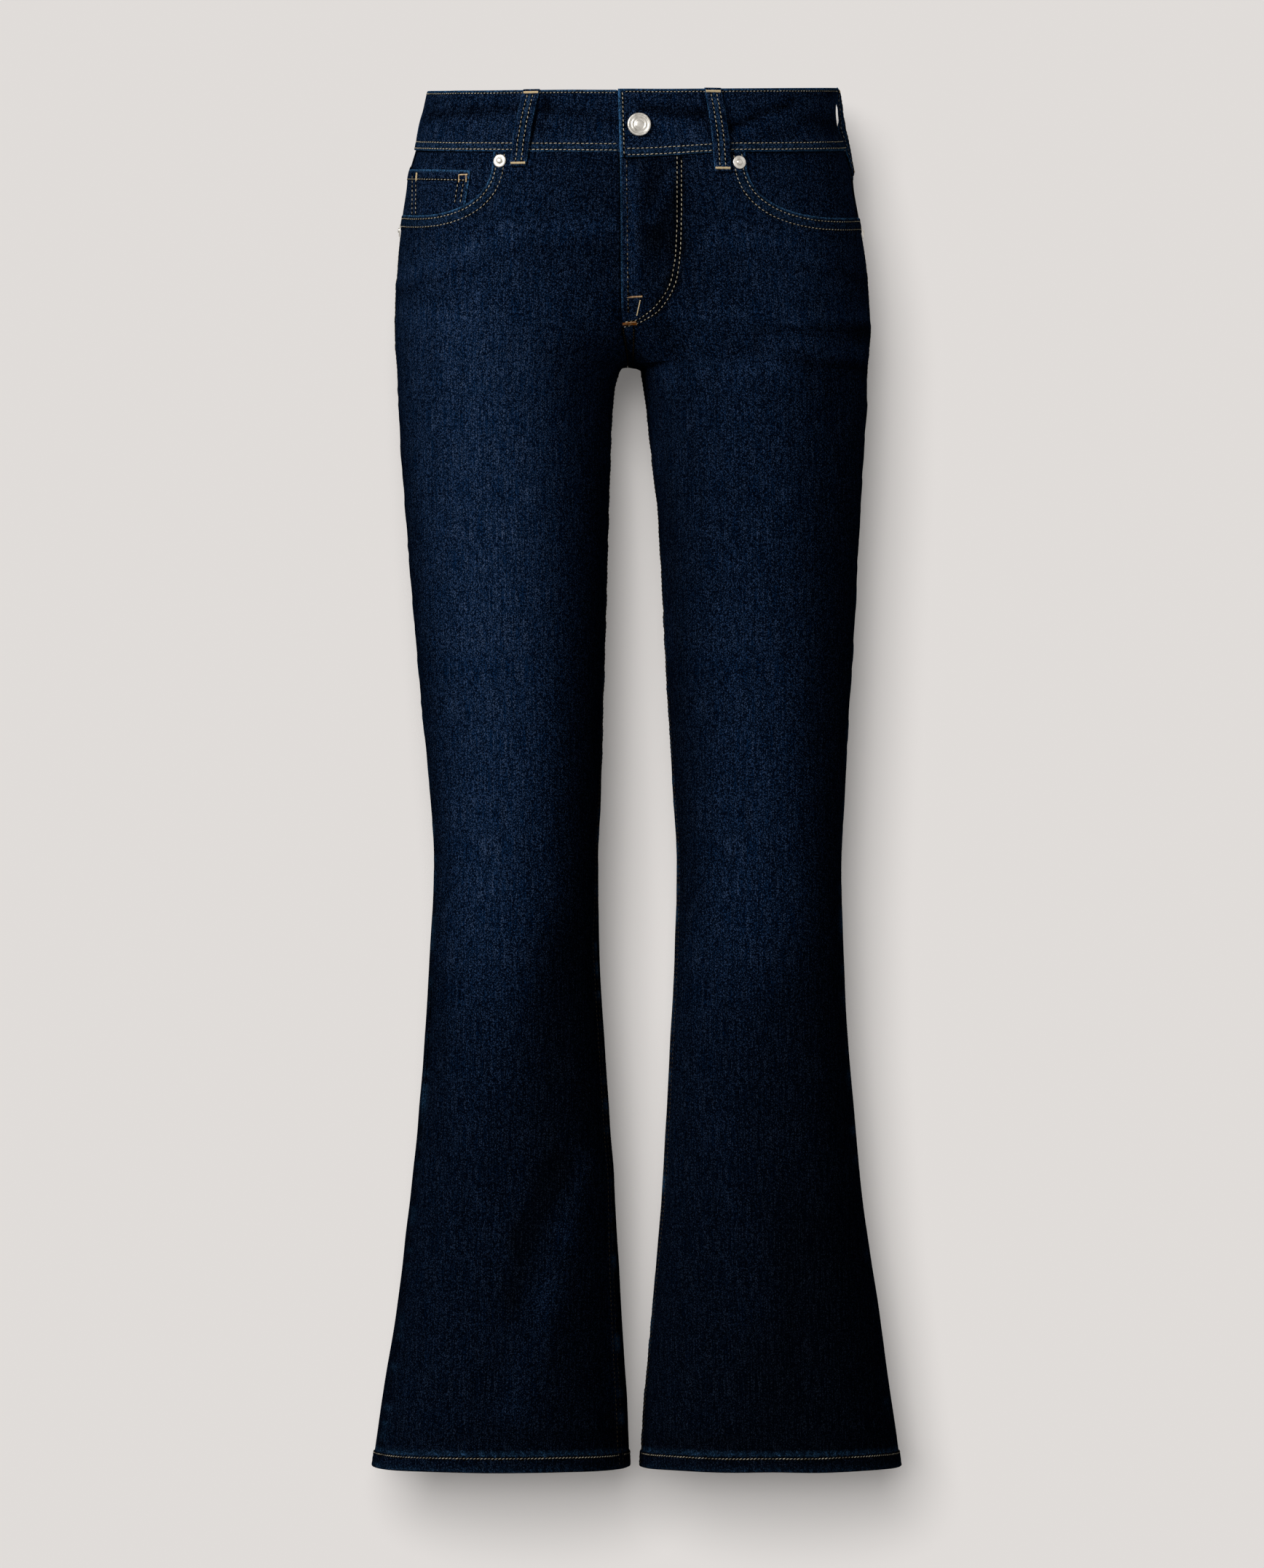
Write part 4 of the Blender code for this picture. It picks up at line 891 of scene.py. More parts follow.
def cut_of(points):
    """Width and length in metres of the cut that a grid of points in mm came from; its area."""
    across = np.linalg.norm(np.diff(points, axis=1), axis=2)
    down = np.linalg.norm(np.diff(points, axis=0), axis=2)
    area = float((across[:-1] * down[:, :-1]).sum())
    width, length = float(across.sum(1).max()), float(down.sum(0).max())
    return (width * MM, length * MM), min(area, width * length) * MM * MM


PIECES = {}


def finish_piece(piece, slot, *nodes):
    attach(piece, "root")
    if nodes:
        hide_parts(*nodes)
    PIECES[piece.name] = piece
    return piece


def triangles(piece):
    return sum(len(polygon.vertices) - 2 for polygon in piece.data.polygons)


def hang(piece, node, rests_on, flat, area=None, slot="denim"):
    """Lets a sheet stand for its solid and states its flat cut in metres; its own area is not used.
    """
    finish_piece(piece, slot, node)
    print(piece.name, triangles(piece), "triangles, cut", [round(v, 3) for v in flat])


# %% Edges of the waistband and of the pocket mouths
def band_top(leg, panel, distance):
    point = flat_point(leg, panel, BAND_TOP, distance)
    return BAND_TOP + BAND_ROLL * point[..., 0] + BAND_TOP_TILT * point[..., 1]


def band_bottom(leg, panel, distance):
    point = flat_point(leg, panel, BAND_BOTTOM, distance)
    tilt = np.where(point[..., 1] > 0, BAND_BACK_TILT, BAND_BOTTOM_TILT)
    height = BAND_BOTTOM + tilt * point[..., 1]
    if (leg, panel) == ("left", "front"):
        height = height - BAND_END_DROOP * (1 - ease(np.asarray(distance) / 90.0))
    return height


def mouth(leg, wider=0.0, deeper=0.0):
    """The pocket mouth's curve, or a larger one under it: heights and distances on the front."""
    angles = np.linspace(0, math.pi / 2, 240) ** 1.6 / (math.pi / 2) ** 0.6
    cosine, sine = superellipse(angles, POCKET_ROUNDNESS)
    side_x = float(FIGURE_CURVES[leg](BAND_BOTTOM - POCKET_DROP[leg]))
    x = side_x - SIGN[leg] * (POCKET_REACH[leg] + wider) * cosine
    drop = (POCKET_DROP[leg] + deeper) * sine
    heights = BAND_BOTTOM - 6 - drop
    for _ in range(4):
        distances = distance_at_x(leg, "front", heights, x)
        heights = band_bottom(leg, "front", distances) - SEAM_GAP - drop
    return heights, distances


for leg in SIGN:
    heights, _ = mouth(leg)
    print(leg, "pocket mouth runs from", heights[0].round(1), "to", heights[-1].round(1), "mm")

# %% [markdown]
# ## Leg panels
# Each leg is a front and a back panel, sewn at the inseam and the side. A panel's columns follow
# the grain from the waist to the hem, closest together at the seams, where the cloth puckers.
# The hem is the panel's own end, turned up inside, so it is two plies thick and round below.

# %% Rows and columns of a panel
BODY_TOP = -100.0


def spaced(start, end, step):
    count = max(int(round(abs(end - start) / step)), 1)
    return np.linspace(start, end, count, endpoint=False)


def crowded(count, crowding=0.35):
    """Shares from 0 to 1, closer together at both ends."""
    s = np.linspace(0, 1, count)
    return s - crowding * np.sin(2 * math.pi * s) / (2 * math.pi)


LEG_ROWS = np.concatenate([
    spaced(BODY_TOP, -160, 2.5), spaced(-160, -176, 1.6),
    [-176, -177.4, -178.4, -178.95, -179.15, -179.3, -179.6, -180.1, -180.9, -182, -183.5],
    spaced(-185.5, -966, 2.8), [-966, -969, -971.4, -973, -973.9, -974.5, -975.2],
    spaced(-976.4, -983.2, 1.7)])
# The turned hem: height above the lowest point, and place out of the panel's smooth face.
HEM_TURN_RADIUS = 1.3
TURN = np.radians(np.arange(0, 181, 20))
HEM_ROWS = np.concatenate([HEM_BOTTOM + HEM_TURN_RADIUS - HEM_TURN_RADIUS * np.sin(TURN),
                           [-982, -979.5, -977, HEM_BOTTOM + HEM_HEIGHT]])
HEM_OUT = np.concatenate([HEM_RAISE - HEM_TURN_RADIUS + HEM_TURN_RADIUS * np.cos(TURN),
                          np.full(4, HEM_RAISE - 2 * HEM_TURN_RADIUS)])


def hem_raise(height):
    """The step where the turned hem begins, softened by the press."""
    return HEM_RAISE * ease((HEM_BOTTOM + HEM_HEIGHT + 0.9 - height) / 1.8)


UPPER_ROWS = 34         # from the panel's top edge to the body's top row
EDGE_DIP, EDGE_WIDTH = 0.35, 0.9    # mm by which a sewn edge rolls in, and over what width
ROPING = 0.28           # mm of the hem's slanting ripples
RUB_WIDTH = 6.0         # mm of each seam's side that is rubbed


def panel_sheet(name, leg, panel, tops, across, edge_out=None):
    """A leg panel from its top edge (a height for each column) down to its turned hem."""
    shares = np.linspace(0, 1, UPPER_ROWS, endpoint=False)[:, None]
    heights = np.concatenate([tops + (BODY_TOP - tops) * shares,
                              np.repeat(LEG_ROWS[:, None], len(across), 1),
                              np.repeat(HEM_ROWS[:, None], len(across), 1)])
    across = np.broadcast_to(across, heights.shape)
    distance = distance_of(leg, panel, heights, across)
    whole = girth(leg, panel, heights)
    distance = np.clip(distance, SHELL_GAP, whole - SHELL_GAP)
    edge = np.minimum(distance, whole - distance)
    out = hem_raise(heights) - EDGE_DIP * bell(edge, EDGE_WIDTH)
    out[-len(HEM_ROWS):] = HEM_OUT[:, None]
    if edge_out is not None:
        out += edge_out(heights, distance)
    hem = ease((HEM_BOTTOM + HEM_HEIGHT + 2 - heights) / 3)
    point = flat_point(leg, panel, heights, distance)
    # Roping: the hem's two plies creep past each other and ripple on the slant.
    around = point[..., 0] + point[..., 1] * (1 if panel == "front" else -1)
    slant = around / 8.0 + heights / 13.0
    roping = np.sin(2 * math.pi * slant + 2.2 * noise(point, 21.0, 61))
    roping = roping * (0.6 + 0.4 * noise(point, 33.0, 62))
    turn = np.where(np.arange(len(heights))[:, None] >= len(heights) - 5, -1.0, 1.0)
    out += ROPING * roping * hem * turn
    wave = 0.45 * noise(point[..., :2], 34.0, 63) * hem
    points, normals = place(leg, panel, heights, distance, out)
    points[..., 2] += wave
    fade = fade_and_shading_of(leg, panel, heights, distance)
    side_rub = np.clip(seam_ripple(heights, SEAM_SEED[leg]), 0, 1)
    side_rub *= bell(whole - distance, RUB_WIDTH) * ease((-120 - heights) / 200)
    seam_rub = np.clip(seam_ripple(heights, SEAM_SEED[leg] + 5), 0, 1)
    seam_rub *= bell(distance, RUB_WIDTH) * ease((CROTCH_HEIGHT - 20 - heights) / 200)
    if (leg, panel) == ("left", "front"):
        # The fly's lapped edge is rubbed pale down to the bar tack.
        worn = bell(distance - 0.5, 0.7) * ease((heights - FLY_LENGTH_END - 4) / 6)
        seam_rub = seam_rub + worn * (0.55 + 0.6 * noise(point, 17.0, 64))
    # The hem is rubbed along its fold, and in a thin line just above its step.
    up = heights - HEM_BOTTOM
    hem_rub = 0.35 * hem * bell(up, 4.0) + bell(up - 13.2, 1.4)
    hem_rub = (0.25 + 0.75 * np.clip(roping, 0, 1)) * hem_rub
    rub = np.clip(0.20 * side_rub + 0.5 * seam_rub + 0.30 * hem_rub, 0, 1)
    grain = grain_of(leg, panel, heights, distance)
    return sheet(name, points, normals, grain, fade, rub)


def cut_size(leg, panel, top):
    """Width and length of the flat cut in metres, and its own area: hem turned down, no seams."""
    levels = np.linspace(top, HEM_BOTTOM, 200)
    widths = girth(leg, panel, levels)
    length = top - HEM_BOTTOM + HEM_HEIGHT
    area = widths.mean() * (top - HEM_BOTTOM) + widths[-1] * HEM_HEIGHT
    return (widths.max() * MM, length * MM), area * MM * MM


# %% Front panels
FELLED = 10.5       # width of the inseam's lapped ridge on the front panel, in mm
for leg in SIGN:
    curve_heights, curve_distances = mouth(leg, 2.2, 2.2)
    along_curve = running_lengths(np.stack([curve_distances, curve_heights], 1))
    # Even steps along the curve, never closer than half a millimetre side by side. Where it drops
    # steeply the share across may step back a little, and the columns must not.
    shares = np.maximum.accumulate(across_of(leg, "front", curve_heights, curve_distances))
    shares = shares[0] + (shares - shares[0]) * (1 - shares[0]) / (shares[-1] - shares[0])
    mouth_across = np.interp(np.linspace(0, along_curve[-1], 60), along_curve, shares)
    mouth_across = np.maximum(mouth_across, shares[0] + np.arange(60) * 0.0028)
    mouth_across[-1] = 1.0
    mouth_tops = np.interp(mouth_across, shares, curve_heights)
    plain_across = crowded(120)
    plain_across = plain_across[plain_across < mouth_across[0] - 0.004]
    plain_tops = band_bottom(leg, "front", distance_of(leg, "front", -22.0, plain_across)) + 0.4
    across = np.concatenate([plain_across, mouth_across])
    tops = np.concatenate([plain_tops, mouth_tops])

    def front_edge(heights, distance, leg=leg):
        ridge = 0.45 * ease((FELLED - distance) / 2.0) * ease((CROTCH_HEIGHT - 2 - heights) / 6)
        if leg == "left":
            over = ease((heights - FLY_LENGTH_END - 2) / 6)
            ridge = ridge + over * 0.7 * ease((9 - distance) / 9)
        return ridge

    piece = panel_sheet("denim_front_" + leg, leg, "front", tops, across, front_edge)
    hang(piece, "front_" + leg, "waistband", *cut_size(leg, "front", -22))


# %% Back panels and yokes
def yoke_seam(across):
    return YOKE_CENTRE + (YOKE_SIDE - YOKE_CENTRE) * across


for leg in SIGN:
    across = crowded(80)
    piece = panel_sheet("denim_back_" + leg, leg, "back", yoke_seam(across) - SHELL_GAP, across)
    hang(piece, "back_" + leg, "yoke_" + leg, *cut_size(leg, "back", -60))

    tops = band_bottom(leg, "back", distance_of(leg, "back", -22.0, across)) + 0.4
    lows = yoke_seam(across) + SHELL_GAP
    share = np.linspace(0, 1, 26)[:, None]
    heights = tops + (lows - tops) * share
    distance = distance_of(leg, "back", heights, across[None])
    whole = girth(leg, "back", heights)
    distance = np.clip(distance, SHELL_GAP, whole - SHELL_GAP)
    # The yoke laps over the seat panel, so its lower edge stands a little proud.
    over = 0.45 * ease((9 - (heights - lows)) / 2.5)
    points, normals = place(leg, "back", heights, distance, over)
    piece = sheet("denim_yoke_" + leg, points, normals, grain_of(leg, "back", heights, distance),
                  fade_and_shading_of(leg, "back", heights, distance), 0.5 * bell(heights - lows, 1.2))
    hang(piece, "yoke_" + leg, "waistband", *cut_of(points))

# %% [markdown]
# ## Pocket mouths
# The scooped mouth's edge is turned under and sewn down with two rows of stitches, so it is a
# rolled ridge. A strip swept along the mouth's curve gives that roll. Its far edge dips under
# the panel's face, so the two read as one cloth.

# %% A strip along a line on the cloth
# Place in from the edge, and how far out of the panel's smooth face.
MOUTH_PROFILE = ((1.8, -0.9), (0.8, -0.9), (0.25, -0.65), (0, -0.15), (0.1, 0.25), (0.4, 0.5),
                 (1.0, 0.68), (1.8, 0.7), (2.9, 0.5), (3.9, 0.7), (5.5, 0.75), (7.4, 0.7),
                 (8.8, 0.42), (9.8, 0.5), (10.8, 0.25), (11.6, -0.15), (12.3, -0.6))
MOUTH_CUT = 0.0155      # metres across the strip, laid flat


def inward_from(heights, distances, along_step):
    """Even places along a line on the cloth, and the direction across it in that plane."""
    places = np.stack([distances, heights], 1)
    lengths = running_lengths(places)
    count = int(lengths[-1] / along_step) + 1
    steps = np.linspace(0, lengths[-1], count)
    line = along(places, lengths, steps)
    forward = unit(np.gradient(line, axis=0))
    return line, np.stack([forward[:, 1], -forward[:, 0]], 1), steps


for leg in SIGN:
    line, inward, steps = inward_from(*mouth(leg), 1.6)
    into, out = np.array(MOUTH_PROFILE).T
    at = line[None] + inward[None] * into[:, None, None]
    whole = girth(leg, "front", at[..., 1])
    distance = np.minimum(at[..., 0], whole - SEAM_GAP / 2)
    heights = np.minimum(at[..., 1], band_bottom(leg, "front", distance) + 0.6)
    ripple = 0.14 * noise(steps[None, :, None], 4.5, 71) * (into[:, None] < 10)
    points, normals = place(leg, "front", heights, distance, out[:, None] + ripple)
    rub = bell(np.maximum(into - 0.2, 0), 0.9)[:, None] * (0.75 + 0.6 * ripple / 0.14)
    rub = np.clip(rub + 0.05 * bell(into - 5.5, 2.5)[:, None], 0, 1)
    grain = grain_of(leg, "front", heights, distance)
    fade = fade_and_shading_of(leg, "front", heights, distance) - 0.05
    piece = sheet("denim_mouth_" + leg, points, normals, grain, fade, rub, thickness=0.5)
    hang(piece, "front_" + leg, "waistband", (float(steps[-1]) * MM, MOUTH_CUT))

# %% Facings and coin pocket
for leg in SIGN:
    large_heights, large_distances = mouth(leg, FACING_WIDER, FACING_DEEPER)
    start = across_of(leg, "front", -40.0, large_distances[0])
    across = start + (1 - start) * crowded(56, 0.3)
    low = np.interp(distance_of(leg, "front", -60.0, across), large_distances, large_heights)
    top = band_bottom(leg, "front", distance_of(leg, "front", -22.0, across)) + 0.4
    low = np.minimum(low, top - 2)
    heights = top + (low - top) * np.linspace(0, 1, 34)[:, None]
    distance = np.minimum(distance_of(leg, "front", heights, across[None]),
                          girth(leg, "front", heights) - SEAM_GAP / 2)
    points, normals = place(leg, "front", heights, distance, -(CLOTH + LAY_GAP))
    grain = grain_of(leg, "front", heights, distance)
    piece = sheet("denim_facing_" + leg, points, normals, grain, 0.31, 0.0, thickness=1.0)
    hang(piece, "pocket_facing_" + leg, "waistband", *cut_of(points))

COIN_TOP = (-41.2, -35.5)        # height of its hem at the inner and at the outer end
COIN_EDGE_X = (-117.0, -121.2)   # its free edge leans outwards
mouth_heights, mouth_distances = mouth("right")


def coin_edge(height):
    """Distance of the free edge at a height."""
    down = (height - COIN_TOP[0]) / (-68 - COIN_TOP[0])
    x = COIN_EDGE_X[0] + (COIN_EDGE_X[1] - COIN_EDGE_X[0]) * down
    return distance_at_x("right", "front", height, x)


share = crowded(40, 0.4)[None]
down = np.linspace(0, 1, 30)[:, None]
top = COIN_TOP[0] + (COIN_TOP[1] - COIN_TOP[0]) * share
heights = top + (-66 - top) * down
for _ in range(3):
    first = coin_edge(heights)
    distance = first + (girth("right", "front", heights) - SEAM_GAP / 2 - first) * share
    low = np.interp(distance[-1:], mouth_distances, mouth_heights) + SEAM_GAP
    heights = top + (low - top) * down
out = 0.1 + 0.25 * ease((4 - (top - heights)) / 1.5) - 0.4 * bell(distance - first, 0.6)
out -= 0.4 * bell(top - heights, 0.5)
points, normals = place("right", "front", heights, distance, out)
coin_rub = bell(top - heights, 1.0) + 0.8 * bell(distance - first, 1.0)
piece = sheet("denim_coin_pocket", points, normals, grain_of("right", "front", heights, distance),
              0.36, np.clip(coin_rub, 0, 1), thickness=1.0)
hang(piece, "coin_pocket", "pocket_facing_right", *cut_of(points))

# %% [markdown]
# ## Waistband
# One long strip is folded over the top of the panels, with its raw edges tucked in, so its upper
# and lower edges are round and its ends are closed. A single profile, run round the waist, gives
# all of that. The buttoned end parts from the hidden one under it by the thickness of the cloth.

# %% The folded strip
# Share of the band's height, mm from there upwards, and mm out of the panels' face.
BAND_PROFILE = ((0, 2.2, -0.1), (0, 0.7, -0.05), (0, 0.15, 0.3), (0, 0, 0.7), (0, 0.35, 1.02),
                (0, 0.9, 1.12), (0, 1.6, 0.98), (0, 2.4, 1.15), (0, 3.9, 1.22), (0, 5.3, 1.15),
                (0, 6.2, 0.98), (0, 7.2, 1.12), (.25, 0, 1.12), (.34, 0, 1.12), (.43, 0, 1.12),
                (.52, 0, 1.12), (.61, 0, 1.12), (.70, 0, 1.12), (.80, 0, 1.12), (1, -5.4, 1.12),
                (1, -3.6, 1.12), (1, -2.4, 0.98), (1, -1.3, 1.1), (1, -0.6, 0.95), (1, -0.15, 0.6),
                (1, 0, 0.1), (1, -0.1, -0.4), (1, -0.6, -0.9), (1, -1.6, -1.08), (.8, 0, -1.1),
                (.55, 0, -1.1), (.3, 0, -1.1), (0, 2, -1.1), (0, 0.4, -1.05), (0, 0.1, -0.8))
END_ROUND = 1.0
BAND_STEPS = 100        # columns a panel
BAND_CUT = 0.096        # metres across the whole strip, laid flat


def band_path():
    """Places round the waist: wearer's side, panel and share across, from the buttoned end."""
    path = []
    for leg, panel, forward in (("left", "front", True), ("left", "back", False),
                                ("right", "back", True), ("right", "front", False)):
        shares = np.arange(BAND_STEPS) / BAND_STEPS
        if (leg, panel) == ("left", "front"):
            shares = np.concatenate([[0, 0.0018, 0.005, 0.01], shares[2:]])
        path += [(leg, panel, s if forward else 1 - s) for s in shares]
    path.append(("right", "front", 0.0))
    under = float(across_of("left", "front", 0.0, BAND_UNDERLAP))
    path += [("left", "front", under * s)
             for s in (0.1, 0.2, 0.35, 0.5, 0.65, 0.8, 0.9, 0.96, 0.985, 1)]
    return path


def lap_of(reach, length):
    """How far the band stands out of, or in from, the panels' face near its two ends."""
    lap = BAND_LAP * (1 - ease(reach / BAND_LAP_LENGTH))
    hidden_from = length - BAND_UNDERLAP
    return lap - BAND_LAP * ease((reach - hidden_from + BAND_LAP_LENGTH) / BAND_LAP_LENGTH)


# Soft creases that run out from the button and from the right loop, and two hollows beside the
# front loops for the loops' shadows: mm deep, negative is proud. Each is also painted into the
# cloth's colour: darker where deep, which is painted shade, and paler where proud, painted light.
BAND_CREASES_AND_LOOP_SHADOWS = {
    ("right", "front"): (
        (-146, 1, -82, 3, 1.3, 3.2), (-146, -9, -88, -11, -0.9, 3.6), (-61, 3, -12, -6, 1, 3.6),
        (-62, 11, -65, -26, 0.9, 3)),
    ("left", "front"): (
        (9, 1, 48, -1, 1.6, 3.4), (13, -9, 51, -16, -1.2, 4), (53, 11, 56, -24, 1, 2.8),
        (69, -12, 117, 8, 2, 2.8), (69, -18, 100, -4, -1.6, 2.4), (100, -4, 120, 2, -1.6, 2.4),
        (80, -22, 117, -13, 1.1, 2.8), (122, -1, 146, -5, 1.1, 3.6), (119, 7, 146, 9, -0.8, 4)),
}
path = band_path()
spots = np.array([flat_point(leg, panel, 0.0, distance_of(leg, panel, 0.0, across))
                  for leg, panel, across in path])
band_reach = running_lengths(spots)
BAND_LENGTH = float(band_reach[-1])
shares, offsets, outs = np.array(BAND_PROFILE).T
columns, column_normals, grains, rubs, band_fade_and_shading = [], [], [], [], []
for (leg, panel, across), reach in zip(path, band_reach):
    hidden = reach > BAND_LENGTH - BAND_UNDERLAP
    top_distance = distance_of(leg, panel, 0.0, across)
    top = float(band_top(leg, panel, top_distance)) - (0.5 if hidden else 0)
    low = float(band_bottom("right" if hidden else leg, panel, 0.0 if hidden else
                            float(distance_of(leg, panel, -22.0, across))))
    heights = low + (top - low) * shares + offsets
    end = min(reach, BAND_LENGTH - reach)
    closing = math.sqrt(max(1 - (1 - min(end / END_ROUND, 1)) ** 2, 0.0))
    places = np.stack([np.full(len(heights), reach), heights], 1)
    pucker = 0.16 * noise(places, 5.0, 81)
    pucker += 0.30 * noise(places, 26.0, 82)
    pucker *= outs > 0.3
    distance = distance_of(leg, panel, heights, across)
    x = flat_point(leg, panel, heights, distance)[:, 0]
    crease = fold_depth(BAND_CREASES_AND_LOOP_SHADOWS, leg, panel, x, heights) * (outs > 0.3) * (not hidden)
    point, normal = place(leg, panel, heights, distance,
                          outs * closing + lap_of(reach, BAND_LENGTH) + pucker
                          - 0.42 * crease * ease((heights - low - 7) / 5))
    # Deep creases and the hollows beside the loops are painted darker (painted shade), proud ones
    # paler (painted light).
    band_fade_and_shading.append(0.32 - 0.17 * crease + 0.13 * bell(heights - low - 7, 5))
    columns.append(point)
    column_normals.append(normal * np.sign(outs + 0.05)[:, None])
    grains.append(places * MM)
    near_edge = bell(top - heights, 1.3) + 0.55 * bell(heights - low, 1.0)
    strip = 0.08 * bell(heights - low - 3.9, 1.8)
    rubs.append(0.6 * near_edge + strip + 1.0 * math.exp(-(reach / 1.3) ** 2))
band_points, band_normals = np.stack(columns, 1), np.stack(column_normals, 1)
piece = sheet("denim_waistband", band_points, band_normals, np.stack(grains, 1),
              np.stack(band_fade_and_shading, 1), np.clip(np.stack(rubs, 1), 0, 1), thickness=0.9)
hang(piece, "waistband", "denim_front_right", (BAND_LENGTH * MM, BAND_CUT))

# %% [markdown]
# ## Belt loops
# A loop is a strip folded in three, tacked at the band's upper edge and just below the band. It
# stands off between, which throws the small dark shadow beside it; beside the two front loops
# that shadow is painted into the waistband as well.

# %% Loops
LOOP_WIDTH = 12.5
LOOP_CLOTH = 1.6
LOOP_ON_BAND = BAND_CLOTH / 2 + LAY_GAP
LOOP_ON_PANEL = LAY_GAP + 0.1
LOOP_PROFILE = ((0.0, LOOP_ON_BAND), (0.08, LOOP_ON_BAND), (0.17, 2.6), (0.30, 4.0), (0.45, 4.5),
                (0.60, 4.2), (0.72, 3.0), (0.84, 1.2), (0.91, LOOP_ON_PANEL), (1.0, LOOP_ON_PANEL))
LOOP_STAND = smooth_curve(*np.array(LOOP_PROFILE).T)
LOOP_PLACES = {}


def belt_loop(number, leg, panel, top_distance, low_distance, low_height):
    """Rows down the loop by columns across it; the sides are turned under and round."""
    top_height = float(band_top(leg, panel, top_distance))
    share = np.linspace(0, 1, 46)[:, None]
    side = np.array([-0.5, -0.485, -0.45, -0.35, -0.17, 0, 0.17, 0.35, 0.45, 0.485, 0.5])[None]
    heights = np.broadcast_to(top_height + (low_height - top_height) * share, (46, 11))
    middle = top_distance + (low_distance - top_distance) * share
    distance = middle + side * LOOP_WIDTH
    places = np.stack(np.broadcast_arrays(share * 40, side * 9), -1)
    wrinkle = 0.25 * noise(places, 7.0, 90 + number)
    out = LOOP_STAND(share) + LOOP_CLOTH + wrinkle * np.sin(math.pi * share)
    out = out - 0.7 * np.clip((np.abs(side) - 0.44) / 0.06, 0, 1) ** 2
    end = np.minimum(share, 1 - share) * abs(top_height - low_height)
    out = out - 0.6 * np.clip(1 - end / 0.9, 0, 1) ** 2
    return heights, distance, out, share, side


def make_loop(number, points, normals, share, side, fade):
    rub = bell(0.5 - np.abs(side), 0.035) * (0.75 + 0.4 * np.sin(share * 21 + number))
    rub = np.clip(0.6 * rub + 0.12 * bell(side, 0.12), 0, 1)
    grain = np.stack(np.broadcast_arrays(side * LOOP_WIDTH * MM, -share * 0.06), -1)
    piece = sheet("denim_belt_loop_%d" % number, points, normals, grain + number * 0.1, fade, rub,
                  thickness=LOOP_CLOTH - 0.2)
    length = float(running_lengths(points[:, 5])[-1])
    hang(piece, "belt_loop_%d" % number, "denim_waistband", (LOOP_WIDTH * MM, length * MM))


for number, leg, panel, top_x, low_x, low_height in ((1, "right", "front", -72.0, -82.6, -39.5),
                                                     (2, "left", "front", 58.2, 65.8, -43.5)):
    top_distance = float(distance_at_x(leg, panel, 10, top_x))
    low_distance = float(distance_at_x(leg, panel, low_height, low_x))
    heights, distance, out, share, side = belt_loop(number, leg, panel, top_distance,
                                                    low_distance, low_height)
    points, normals = place(leg, panel, heights, distance, out)
    LOOP_PLACES[number] = (leg, panel, heights, distance, out)
    make_loop(number, points, normals, share, side, 0.5)
for number, leg, behind in ((3, "right", 34.0), (4, "left", 7.5)):
    whole = float(girth(leg, "back", 0.0))
    across = float(across_of(leg, "back", 0.0, whole - behind))
    tops = float(distance_of(leg, "back", 20.0, across))
    lows = float(distance_of(leg, "back", -36.0, across))
    low_height = -36.0 if number == 3 else -40.0
    heights, distance, out, share, side = belt_loop(number, leg, "back", tops, lows, low_height)
    inside = np.minimum(distance, girth(leg, "back", heights))
    if number == 4:
        # This one is seen edge-on and twisted: its front edge hugs the band but for a short slit,
        # and its back edge stands off.
        slit = np.exp(-((share - 0.31) / 0.11) ** 6)
        front = np.interp(share, (0, .05, .70, .76, 1), (2.2, 1.7, 1.7, 1.2, 1.2)) + 1.6 * slit
        back = np.interp(share, (0, .08, .2, .42, .58, .72, .84, .93, 1),
                         (2.8, 4.4, 6.6, 7.6, 7.0, 5.0, 3.2, 2.8, 2.2))
        out = out - LOOP_STAND(share) - LOOP_CLOTH
        out = out + front + (back - front) * ease((0.42 - side) / 0.7)
    points, normals = place(leg, "back", heights, inside, out)
    LOOP_PLACES[number] = (leg, "back", heights, inside, out)
    make_loop(number, points, normals, share, side, 0.35)


def over_centre(panel, heights, distance, out):
    """Places round a centre seam: a distance below 0 lies on the wearer's right half."""
    right, right_normal = place("right", panel, heights, np.maximum(-distance, 0.0), out)
    left, left_normal = place("left", panel, heights, np.maximum(distance, 0.0), out)
    on_left = (distance >= 0)[..., None]
    return np.where(on_left, left, right), np.where(on_left, left_normal, right_normal)


centre_low = float(band_bottom("left", "back", 0.0)) - 13.0
heights, distance, out, share, side = belt_loop(5, "left", "back", 0.0, 0.0, centre_low)
points, normals = over_centre("back", heights, distance, out)
LOOP_PLACES[5] = ("centre", "back", heights, distance, out)
make_loop(5, points, normals, share, side, 0.35)

# %% [markdown]
# ## Back pockets
# Two plain patches lie on the seat. Their edges are turned under, so they are round, and the
# top has a deeper hem. They stay plain, with an even border of stitches.

# %% Patch pockets
BACK_POCKET_OUT = 1.75
BACK_POCKET_SIDES = ((0.222, 0.272), (0.775, 0.724))   # shares across: inner side, outer side
BACK_POCKET_CORNER, BACK_POCKET_POINT = -197.5, -210.5
PATCH_WIDTH, PATCH_LENGTH = 84.0, 118.0     # for measures of its edges and its stitches


def back_pocket_places(u, v):
    """Shares across and heights for places u across and v down the patch, each 0 to 1."""
    inner = BACK_POCKET_SIDES[0][0] + (BACK_POCKET_SIDES[0][1] - BACK_POCKET_SIDES[0][0]) * v
    outer = BACK_POCKET_SIDES[1][0] + (BACK_POCKET_SIDES[1][1] - BACK_POCKET_SIDES[1][0]) * v
    across = inner + (outer - inner) * u
    seam = yoke_seam(across)
    top = seam + (BODY_TOP - seam) * 0.6
    low = BACK_POCKET_CORNER + (BACK_POCKET_POINT - BACK_POCKET_CORNER) * (1 - np.abs(2 * u - 1))
    return across, top + (low - top) * v


